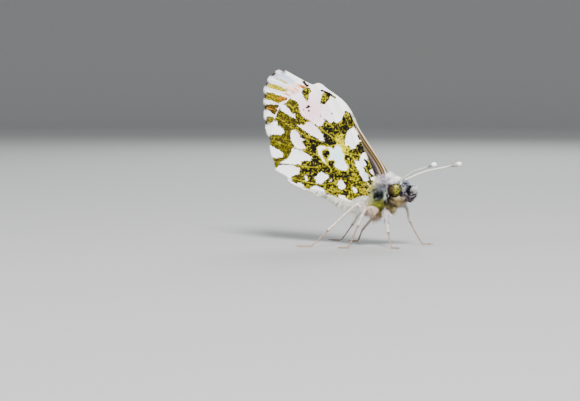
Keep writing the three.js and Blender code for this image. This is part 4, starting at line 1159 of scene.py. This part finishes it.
def add_inner_hair(name, wing, net, sign, look, count):
    """Long white hair on the hindwing's inner margin, longest near the body, and shorter hair that
    veils the wing's root."""
    v = RANDOM.uniform(0.06, 1, count)
    inward = RANDOM.uniform(0, 1, count) ** 2 * np.interp(v, [0, 0.2, 0.35, 0.6, 1], [45, 36, 14, 8, 6])
    rows, columns = v * WING_ROWS, WING_COLUMNS - inward
    low = np.floor(rows).astype(int).clip(0, WING_ROWS - 1)
    near = np.floor(columns).astype(int).clip(0, WING_COLUMNS - 1)
    part = (rows - low)[:, None]
    at = net[low, near] * (1 - part) + net[low + 1, near] * part
    length = np.interp(v, [0.06, 0.2, 0.45, 0.75, 1], [0.8, 1.25, 0.95, 0.55, 0.5])
    root = wing_roots(wing, sign, at, RANDOM.uniform(-0.06, 0.08, count))
    lie = np.column_stack([
        np.interp(v, [0, 0.5, 1], [-1.0, -0.75, -0.45]) + RANDOM.normal(0, 0.2, count),
        sign * RANDOM.uniform(-0.1, 0.3, count),
        -1 + RANDOM.normal(0, 0.15, count),
    ])
    bunch = bunched(root, 0.34)
    add_wing_hair(name, net, sign, look, at, {
        "root": root,
        "lie": unit(lie) + 0.28 * bunch[:, 1:],
        "length": spread(length * (1 + 0.25 * bunch[:, 0]), 0.2),
        "width": widths(count, 0.036),
        "tint": speckled(root, all_over(root, 248, 247, 232), np.full(count, 0.1)),
    })


def add_root_hair(name, wing, net, sign, look, screen, count):
    """Hair that spreads from the root over the wing's base."""
    v = RANDOM.uniform(0.0, 0.035, count)
    rows, columns = v * WING_ROWS, RANDOM.uniform(0, WING_COLUMNS, count)
    at = net[rows.astype(int), columns.astype(int)] + RANDOM.normal(0, 0.04, (count, 2))
    away = unit(at - np.array(wing["root"]) + (0.4, -0.1))
    lie = np.column_stack([away[:, 0], sign * RANDOM.uniform(0.1, 0.45, count), away[:, 1]])
    add_wing_hair(name, net, sign, look, at, {
        "root": wing_roots(wing, sign, at, 0.02),
        "lie": unit(lie) + 0.3 * bunched(lie, 0.4)[:, 1:],
        "length": spread(np.interp(v, [0, 0.035], [0.4, 0.25]), 0.3),
        "width": widths(count, 0.045),
        "tint": varied(all_over(at, *screen), 0.2),
    })


def add_wings():
    hair = hair_material("wing_hair", 0.6)
    marbled = wing_material("marbled_scales", colour(232, 216, 10))
    faint = wing_material("faint_scales", colour(206, 206, 196))
    white = wing_material("white_scales", colour(184, 174, 50))
    orange = wing_material("orange_scales", colour(200, 150, 80))
    fore = study_wing(FOREWING, forewing_under, forewing_upper)
    hind = study_wing(HINDWING, hindwing_under, hindwing_upper)
    for side, sign in SIDES:
        if side == "left":
            fore, hind = lagged(fore, FOREWING), lagged(hind, HINDWING)
        add_wing(f"fore_membrane_{side}", f"forewing_{side}", fore, sign, [white, orange], "forewing")
        add_wing(f"hind_membrane_{side}", f"hindwing_{side}", hind, sign, [marbled, faint], "hindwing")
        base, look = (FOREWING, fore["net"], sign), (hair, "forewing")
        add_fringe(f"fore_fringe_{side}", *base, look, (22, 15, 5), 0.38, 2800)
        add_root_hair(f"fore_root_hair_{side}", *base, look, (176, 158, 196), 300)
        base, look = (HINDWING, hind["net"], sign), (hair, "hindwing")
        add_fringe(f"hind_fringe_{side}", *base, look, (110, 96, 30), 0.17, 4200, hindwing_under)
        add_inner_hair(f"hind_hair_{side}", *base, look, 5200)
        add_root_hair(f"hind_root_hair_{side}", *base, look, (244, 236, 176), 350)


# ---------------------------------------------------------------- body

# The skin from the abdomen's tip to the brow: [x, middle height, half height, half width].
BODY = [
    [-10.2, 2.28, 0, 0], [-10, 2.2, 0.26, 0.26], [-9.2, 1.85, 0.48, 0.44], [-8.3, 1.45, 0.66, 0.56],
    [-7, 0.88, 0.78, 0.64], [-5.5, 0.28, 0.85, 0.68], [-4.2, -0.15, 0.82, 0.68], [-3.3, -0.42, 0.72, 0.64],
    [-2.6, -0.62, 0.92, 0.82], [-1.7, -0.5, 1.28, 1.08], [-0.7, -0.2, 1.76, 1.34], [0.3, 0.03, 1.95, 1.42],
    [0.9, 0.1, 1.85, 1.3], [1.35, 0.12, 1.5, 1.02], [1.75, 0.2, 1.05, 0.8], [2.1, 0.45, 0.98, 0.78],
    [2.5, 0.58, 1.06, 0.86], [2.95, 0.62, 1.1, 0.9], [3.5, 0.6, 0.98, 0.88], [3.9, 0.58, 0.7, 0.66],
    [4.15, 0.56, 0, 0],
]
BODY_START, BODY_END = BODY[0][0], BODY[-1][0]
RING_LENGTH, WAIST = 0.95, -3.2   # the abdomen's rings end at the waist
BODY_STEPS = np.linspace(BODY_START, BODY_END, 500)
BODY_TABLE = np.array([follow(BODY, x) for x in BODY_STEPS])

# How the coat lies along the body, as [x, length, lean, lift, droop] for the back, the flank and
# the belly: lean is forwards above 0, lift away from the skin and droop down along it.
BACK_LIE = [
    [-10, 0.3, -1, 0.3, 0], [-4, 0.5, -1, 0.3, 0], [-0.6, 0.5, -0.6, 0.3, 0], [0, 0.9, -0.2, 1, 0],
    [0.6, 1.35, 0.3, 1, 0], [1.2, 1.5, 0.6, 1, 0], [2.1, 1.15, 0.6, 1, 0], [2.7, 0.8, 0.5, 1, 0],
    [3.4, 0.75, 0.6, 1, 0], [4.1, 0.85, 0.9, 0.7, 0],
]
FLANK_LIE = [
    [-10, 0.3, -1, 0.25, 0], [-4, 0.6, -1, 0.3, 0.2], [-2.5, 0.9, -1, 0.3, 0.4], [-0.5, 0.9, -0.8, 0.35, 0.5],
    [0.5, 0.5, -0.3, 0.25, 0.8], [1.2, 0.5, -0.2, 0.3, 0.9], [1.8, 0.6, 0.1, 0.45, 0.9],
    [2.4, 0.35, 0.3, 0.5, 0.6], [3.5, 0.55, 0.9, 0.6, 0], [4.1, 0.7, 1, 0.6, 0],
]
BELLY_LIE = [
    [-10, 0.35, -1, 0.25, 0], [-4, 0.7, -1, 0.35, 0], [-2, 0.95, -0.9, 0.5, 0], [0, 1.0, -0.4, 0.8, 0],
    [1.2, 1.4, 0.3, 1, 0], [1.8, 1.45, 0.4, 1, 0], [2.6, 1.0, 0.5, 1, 0], [3.5, 0.7, 0.9, 0.8, 0],
    [4.1, 0.7, 1, 0.6, 0],
]
# The coat's colours, and painted shade low on the flank, as (x, height, radius, screen colour, share of dark
# hairs).
COAT_COLOURS = [
    (1.8, 2.2, 1.1, (255, 253, 255), 0.0), (0.5, 2.5, 0.8, (244, 234, 254), 0.0),
    (0.4, 1.85, 0.5, (246, 240, 250), 0.05),
    (3.0, 2.6, 0.5, (196, 202, 216), 0.3), (3.5, 1.95, 0.45, (84, 96, 124), 0.55),
    (0.1, 0.6, 0.6, (20, 64, 88), 0.68), (0.0, -0.15, 0.3, (60, 84, 88), 0.5),
    (0.65, 1.1, 0.24, (110, 122, 150), 0.25), (1.2, 0.5, 0.45, (176, 186, 172), 0.34),
    # Painted shade: the near-black brown at (1.75, -0.3) darkens the flank where the legs meet the body.
    (1.75, -0.3, 0.32, (40, 28, 10), 0.65), (-0.5, 1.3, 0.7, (244, 238, 190), 0.06),
    (-0.9, -0.1, 0.7, (218, 216, 130), 0.2), (0.3, -1.1, 0.55, (134, 140, 18), 0.28),
    (-1.7, -1.0, 0.9, (232, 230, 176), 0.14), (-3.0, -1.4, 1.2, (248, 246, 234), 0.05),
    (0.2, -2.1, 0.8, (150, 128, 84), 0.4), (2.0, -1.6, 0.8, (236, 214, 152), 0.1),
    # Painted shade: the near-black brown at (1.2, -0.9) darkens the flank where the legs meet the body.
    (2.9, -1.1, 0.7, (206, 182, 128), 0.18), (1.2, -0.9, 0.35, (36, 24, 8), 0.65),
    (3.45, 0.6, 0.32, (120, 118, 128), 0.52), (4.3, 1.9, 0.6, (150, 158, 176), 0.46),
    (4.5, 0.9, 0.7, (236, 236, 238), 0.44),
    (4.5, 0.0, 0.6, (146, 134, 140), 0.52), (3.9, -0.8, 0.6, (136, 120, 120), 0.5),
    (-6, 0.4, 2.6, (232, 232, 224), 0.06), (-10, 2, 1.5, (216, 216, 206), 0.08),
]
# The near-black of the dark hairs, also painted on the skin round the eyes as shade.
DARK_HAIR_AND_SHADE = colour(14, 13, 20)
BROW = 0.35                       # how far from the mid-plane the eyes begin


def body_surface(x, turn):
    """Points of the skin at x and a turn from the back, 0, to the belly, pi."""
    middle, high, wide = read_columns(BODY_TABLE, BODY_STEPS, x).T
    rings = 0.03 * np.abs(np.sin(np.pi * (x - BODY_START) / RING_LENGTH)) * (x < WAIST)
    y = (wide + rings) * np.sin(turn) * (1 - 0.15 * np.cos(turn))
    return np.column_stack([x, y, middle + (high + rings) * np.cos(turn)])


def coat_tint(points):
    """The coat's colour and its share of dark hairs at each of the points."""
    total = np.full(len(points), 1e-6)
    tint = np.zeros((len(points), 3))
    dark = np.zeros(len(points))
    for x, z, radius, screen, share in COAT_COLOURS:
        weight = glow(points[:, ::2], x, z, radius) + 1e-5
        total += weight
        tint += weight[:, None] * np.array(colour(*screen))
        dark += weight * share
    return tint / total[:, None], dark / total


def speckled(root, tint, dark, size=0.3):
    """Hair by hair: most keep the coat's own colour, lighter or darker by bunches, and some bunches
    are near black."""
    bunch = bunched(root, size)
    tint = varied(tint * (1 + 0.22 * bunch[:, 1:2]), 0.2)
    black = 0.42 * bunch[:, 0] + 0.5 + RANDOM.uniform(-0.1, 0.1, len(tint)) < dark
    return np.where(black[:, None], np.array(DARK_HAIR_AND_SHADE), np.clip(tint, 0, 1))


def from_eye(points):
    """How far beside the eye's middle each point is, seen from the side."""
    return np.hypot(points[:, 0] - DOME_X, points[:, 2] - EYE["z"])


def add_body_skin(material):
    def skin(t, turn):
        return body_surface(np.array([BODY_END + (BODY_START - BODY_END) * t]), turn)[0]

    mesh = add_ball("body_skin", 48, 150, skin, material, ["thorax", "head", "abdomen"], "hair_coat")
    places = vertex_places(mesh)
    tint, _ = coat_tint(places)
    # Painted shade: the bare skin round each eye is darkened nearly to black, as the shadow beside the eye.
    socket = falloff(from_eye(places), 1.8 * EYE["radius"], 6)
    paint(mesh, "tint", wash(tint * (0.5 + 0.35 * tint), 0.97 * socket, DARK_HAIR_AND_SHADE))
    keep_ball_map(mesh)


def body_roots(low, high, count):
    """Random places on the skin between two x, spread evenly by area, clear of the eyes."""
    x = RANDOM.uniform(low, high, 6 * count)
    turn = RANDOM.uniform(-math.pi, math.pi, len(x))
    around = np.interp(x, BODY_STEPS, BODY_TABLE[:, 1] + BODY_TABLE[:, 2])
    kept = RANDOM.uniform(0, 1, len(x)) < around / around.max()
    points = body_surface(x, turn)
    kept &= (from_eye(points) >= EYE["radius"] * 1.03) | (np.abs(points[:, 1]) <= BROW)
    return x[kept][:count], turn[kept][:count]


def add_body_hair(name, low, high, count, material, width):
    """The coat between two x. Hair under the wings lies flat, and hair by the eyes leans off them."""
    x, turn = body_roots(low, high, count)
    root = body_surface(x, turn)
    step = 0.03
    along = unit(body_surface(x + step, turn) - body_surface(x - step, turn))
    out = unit(np.cross(along, body_surface(x, turn + step) - body_surface(x, turn - step)))
    middle = np.column_stack([x, 0 * x, np.interp(x, BODY_STEPS, BODY_TABLE[:, 0])])
    out *= np.sign((out * (root - middle)).sum(axis=1))[:, None]
    back, belly = np.clip(np.cos(turn), 0, 1) ** 0.8, np.clip(-np.cos(turn), 0, 1) ** 0.8
    parts = ((BACK_LIE, back), (FLANK_LIE, 1 - np.maximum(back, belly)), (BELLY_LIE, belly))
    length, lean, lift, droop = (
        sum(read_rows(rows, x, column) * part for rows, part in parts) for column in range(1, 5)
    )
    beside = (x < -0.5) & (np.abs(root[:, 1]) > 0.45)
    under_wing = beside & (root[:, 2] > np.interp(x, [-10, -4, -1], [1, -1, -1]))
    length = np.where(under_wing, np.minimum(length, 0.22), length)
    lift = np.where(under_wing, 0.1, lift)
    down = np.array([0, 0, -1.0]) + out * out[:, 2:]
    lie = along * lean[:, None] + out * lift[:, None] + down * droop[:, None]
    bunch = bunched(root, 0.3)
    off_eye = (root - np.array([DOME_X, 0, EYE["z"]])) * (1, 0, 1)
    by_eye = falloff(from_eye(root), 1.4 * EYE["radius"], 8) * (np.abs(root[:, 1]) > BROW)
    lie = unit(lie) + 1.6 * by_eye[:, None] * unit(off_eye)
    lie = unit(lie) + 0.3 * bunch[:, 1:] + RANDOM.normal(0, 0.11, root.shape)
    length = (length - by_eye * np.maximum(length - 0.3, 0)) * (1 + 0.2 * bunch[:, 0])
    tint, dark = coat_tint(root)
    coat = {
        "root": root,
        "out": out,
        "lie": lie,
        "length": spread(length, 0.2),
        "width": widths(len(x), width),
        "tint": speckled(root, tint, dark),
        "map": ball_map(turn / FULL_TURN + 0.5, 1 - (x - BODY_START) / (BODY_END - BODY_START)),
    }
    add_hair(name, coat, material, "hair_coat")


def add_eyes(material):
    for side, sign in SIDES:
        def dome(t, turn, sign=sign):
            ring = EYE["radius"] * math.sin(math.pi * t)
            return (
                DOME_X + ring * math.cos(turn),
                sign * (EYE["y"] + EYE["depth"] * math.cos(math.pi * t)),
                EYE["z"] + ring * math.sin(turn),
            )

        add_ball(f"eye_dome_{side}", 48, 32, dome, material, [f"eye_{side}"], "eye")


# ---------------------------------------------------------------- limbs

CAP = 0.03                        # the share of a limb's rings that rounds off each end


def limb_shape(path, radius_at):
    """A shape for add_ball: a round limb along even path points, in a steady frame. Also gives a
    function for the limb's middle, side and top at a place."""
    path = np.asarray(path, float)
    ahead = unit(np.gradient(path, axis=0))
    sides = [unit(np.cross(ahead[0], (0, 0, 1.0) if abs(ahead[0][2]) < 0.9 else (1.0, 0, 0)))]
    for way in ahead[1:]:
        sides.append(unit(sides[-1] - way * (sides[-1] @ way)))
    sides = np.array(sides)
    tops = np.cross(ahead, sides)
    steps = np.linspace(0, 1, len(path))

    def at(t):
        return [read_columns(rows, steps, t) for rows in (path, sides, tops)]

    def shape(t, turn):
        place = min(max((t - CAP) / (1 - 2 * CAP), 0), 1)
        centre, side, top = at(place)
        closing = min(t / CAP, (1 - t) / CAP, 1)
        radius = radius_at(place) * math.sqrt(max(1 - (1 - closing) ** 2, 0))
        return centre + radius * (math.cos(turn) * side + math.sin(turn) * top)

    return shape, at


PALP = [(3.8, 0.45, -0.55), (4.3, 0.5, -0.2), (4.55, 0.5, 0.5), (4.5, 0.42, 1.35)]
PALP_RADIUS = [(0, 0.24), (0.3, 0.3), (0.7, 0.26), (1, 0.12)]
ANTENNAE = {
    "right": [(3.15, -0.5, 1.6), (3.4, -0.65, 2.2), (3.84, -0.9, 2.55), (5.48, -1.9, 3.5), (7.13, -2.9, 4.01),
              (9.15, -4.3, 4.68)],
    "left": [(3.15, 0.5, 1.6), (3.4, 0.7, 2.1), (3.9, 1.05, 2.38), (5.66, 2.5, 3.22), (7.9, 4.5, 3.77),
             (10.1, 6.3, 4.3)],
}
ANTENNA_RINGS = 34
ANTENNA_RADIUS = [(0, 0.17), (0.05, 0.12), (0.8, 0.12), (0.87, 0.17), (0.93, 0.3), (0.97, 0.33), (1, 0.22)]

# A claw's path from the foot's end: how far on, how far aside and how far up.
CLAW = [(-0.1, 0, 0), (0.15, 0.06, 0.06), (0.32, 0.12, 0), (0.36, 0.13, -0.07)]
FOOT_RADIUS, FOOT_BEADS = 0.1, 5
SOLE = FOOT_RADIUS - STANCE
NEAR_FLOOR, CLEARANCE = 0.3, 0.08  # below the first, hair turns sideways; its roots keep the second
LEGS = {
    "leg_fore_right": [(1.05, -0.75, -1.5), (1.65, -2, -3.7), (2.05, -2.7, -5.1), (2.6, -3.15, SOLE),
                       (3.7, -3.6, SOLE)],
    "leg_fore_left": [(1.75, 0.75, -1.2), (3.35, 1.5, -1.45), (3.75, 2.3, -3.9), (5.3, 3.3, SOLE),
                      (6.4, 3.8, SOLE)],
    "leg_mid_right": [(0.1, -0.9, -1.9), (-1.2, -3, -1.75), (-1.95, -4.2, -4.1), (-3, -5.1, SOLE),
                      (-4.1, -5.5, SOLE)],
    "leg_mid_left": [(0.1, 0.9, -1.9), (-1.6, 2.1, -3.3), (-3.6, 3.3, -5.2), (-4.6, 4.2, SOLE),
                     (-5.8, 4.6, SOLE)],
    "leg_hind_right": [(-1.45, -0.85, -1.8), (-1.8, -2.25, -2.45), (-2.4, -2.95, -1), (-6.25, -4.2, -4.8),
                       (-8.5, -5, SOLE), (-10.3, -5.4, SOLE)],
    "leg_hind_left": [(-1.45, 0.85, -1.8), (-1.8, 2.25, -2.45), (-3, 2.95, -1.5), (-5.4, 4.3, -4.6),
                      (-7.4, 5, SOLE), (-9.2, 5.4, SOLE)],
}


def add_limb_hair(name, at, radius_at, count, reach, lean, width, tint_at, look, droop=0):
    """Hair round a limb. reach gives its length by place, lean tips it towards the limb's end and
    droop lets it hang. By the floor it lies sideways."""
    place = RANDOM.uniform(0, 1, count)
    turn = RANDOM.uniform(-math.pi, math.pi, count)
    root, out, lie = np.empty((count, 3)), np.empty((count, 3)), np.empty((count, 3))
    for n, (t, angle) in enumerate(zip(place, turn)):
        centre, side, top = at(t)
        out[n] = math.cos(angle) * side + math.sin(angle) * top
        root[n] = centre + radius_at(t) * out[n]
        lie[n] = out[n] + lean * np.cross(side, top)
    lie = unit(lie) + (0, 0, -droop) + 0.3 * bunched(root, 0.3)[:, 1:] + RANDOM.normal(0, 0.1, lie.shape)
    low = root[:, 2] < SOLE + NEAR_FLOOR
    root[:, 2] = np.maximum(root[:, 2], SOLE + CLEARANCE)
    lie[low, 2] = np.abs(lie[low, 2])
    out[low, 2] = np.abs(out[low, 2])
    coat = {
        "root": root,
        "out": out,
        "lie": lie,
        "length": spread(read_rows(reach, place), 0.3),
        "width": widths(count, width),
        "tint": tint_at(root, place),
        "map": ball_map(turn / FULL_TURN + 0.5, place),
    }
    add_hair(name, coat, *look)


def add_palps(skin, hair):
    def radius_at(t):
        return read_rows(PALP_RADIUS, t)

    def tint_at(root, place):
        return speckled(root, *coat_tint(root), 0.22)

    reach = [(0, 0.4), (0.5, 0.6), (1, 0.5)]
    for side, sign in SIDES:
        path = evenly([(x, sign * y, z) for x, y, z in PALP], 40)
        shape, at = limb_shape(path, radius_at)
        mesh = add_ball(f"palp_skin_{side}", 16, 40, shape, skin, [f"palp_{side}"], "face_hair")
        tint, _ = coat_tint(vertex_places(mesh))
        paint(mesh, "tint", tint * 0.5)
        keep_ball_map(mesh)
        look = (hair, "face_hair")
        add_limb_hair(f"palp_hair_{side}", at, radius_at, 3000, reach, 0.6, 0.055, tint_at, look)


def add_antennae(skin):
    """Pale feelers ringed with brown, with a dark neck below a white club."""
    for side, _ in SIDES:
        shape, _ = limb_shape(evenly(ANTENNAE[side], 120), lambda t: read_rows(ANTENNA_RADIUS, t))
        mesh = add_ball(f"antenna_skin_{side}", 14, 170, shape, skin, [f"antenna_{side}"], "antenna")
        along = read_layer(mesh, "along", np.float32)
        rings = 0.5 + 0.5 * np.sin(FULL_TURN * along * ANTENNA_RINGS)
        tint = dye(all_over(along, 212, 213, 204), np.clip(rings * 1.6 - 0.8, 0, 1) * 0.7, 112, 98, 80)
        tint = dye(tint, 0.8 * falloff(along - 0.84, 0.06), 96, 84, 78)
        tint = dye(tint, ramp(along, 0.9, 0.04), 242, 247, 240)
        paint(mesh, "tint", tint)
        keep_ball_map(mesh)


def jointed(joints, count):
    """A path straight between the joints and rounded off close to each."""
    joints = [np.array(joint, float) for joint in joints]
    points = [joints[0]]
    for a, b in zip(joints, joints[1:]):
        points += [a + (b - a) * 0.12, a + (b - a) * 0.88]
    return evenly(points + [joints[-1]], count)


def add_leg(name, skin, hair):
    """A scaled leg, thick to the knee, thin to the ankle and beaded beyond it, and its hair."""
    joints = LEGS[name]
    lengths = [math.dist(a, b) for a, b in zip(joints, joints[1:])]
    whole = sum(lengths)
    knee, ankle = sum(lengths[:-3]) / whole, sum(lengths[:-2]) / whole
    rows = [(0, 0.36), (knee * 0.5, 0.34), (knee * 0.92, 0.2), (knee, 0.21), (knee + 0.03, 0.17),
            (ankle - 0.05, 0.15), (ankle, 0.19), (ankle + 0.02, 0.07), (1, 0.06)]

    def radius_at(t):
        if t <= ankle + 0.02:
            return read_rows(rows, t)
        return read_rows(rows, t) + 0.02 * abs(math.sin(math.pi * FOOT_BEADS * (t - ankle) / (1 - ankle)))

    shape, at = limb_shape(jointed(joints, 120), radius_at)
    mesh = add_ball(f"{name}_skin", 14, 150, shape, skin, [name], "leg")
    along = read_layer(mesh, "along", np.float32)
    tint = dye(all_over(along, 214, 202, 190), falloff(along - ankle, 0.015), 30, 22, 20)
    tint = dye(tint, ramp(along, ankle, 0.02) * 0.7, 150, 112, 84)
    paint(mesh, "tint", tint)
    keep_ball_map(mesh)

    fringed = "mid" in name
    upper = (226, 200, 180) if fringed else (232, 226, 238)

    def tint_at(root, place):
        pale = dye(all_over(root, *upper), ramp(place, knee, 0.03), 214, 202, 190)
        pale = dye(pale, ramp(place, ankle, 0.02) * 0.8, 130, 96, 70)
        return speckled(root, pale, np.full(len(root), 0.08))

    femur = 1.0 if fringed else 0.6
    reach = [(0, 0.3), (knee * 0.2, 0.45), (knee * 0.5, femur), (knee * 0.85, femur), (knee, 0.14),
             (ankle, 0.12), (ankle + 0.02, 0.08), (1, 0.08)]
    count, lean, droop = (3000, 0.5, 1.3) if fringed else (1500, 1.4, 0)
    add_limb_hair(f"{name}_hair", at, radius_at, count, reach, lean, 0.05, tint_at, (hair, "leg"), droop)


def add_claws(skin):
    """Two small hooks at the end of each foot."""
    for name, joints in LEGS.items():
        end, before = np.array(joints[-1]), np.array(joints[-2])
        ahead = unit(end - before)
        aside = np.cross(ahead, (0, 0, 1.0))
        for hook, way in (("a", -1), ("b", 1)):
            points = [end + on * ahead + off * way * aside + np.array([0, 0, up]) for on, off, up in CLAW]
            shape, _ = limb_shape(evenly(points, 20), lambda t: 0.04 * (1 - 0.7 * t))
            mesh = add_ball(f"{name}_claw_{hook}", 8, 16, shape, skin, [], "leg")
            paint(mesh, "tint", all_over(mesh.vertices, 90, 56, 34))


def add_body():
    skin = hair_material("scaled_skin", 0.75)
    hair = hair_material("body_hair", 0.65)
    add_body_skin(skin)
    add_body_hair("abdomen_coat", -10.1, -2.9, 6000, hair, 0.07)
    add_body_hair("thorax_coat", -2.9, 0.1, 11000, hair, 0.05)
    add_body_hair("collar_coat", 0.1, 2.0, 12000, hair, 0.048)
    add_body_hair("head_coat", 2.0, 4.14, 7000, hair, 0.05)
    add_eyes(eye_material())
    add_palps(skin, hair)
    add_antennae(skin)
    for name in LEGS:
        add_leg(name, skin, hair)
    add_claws(skin)


# ---------------------------------------------------------------- the scene

add_camera()
add_lights()
add_floor()
add_wings()
add_body()
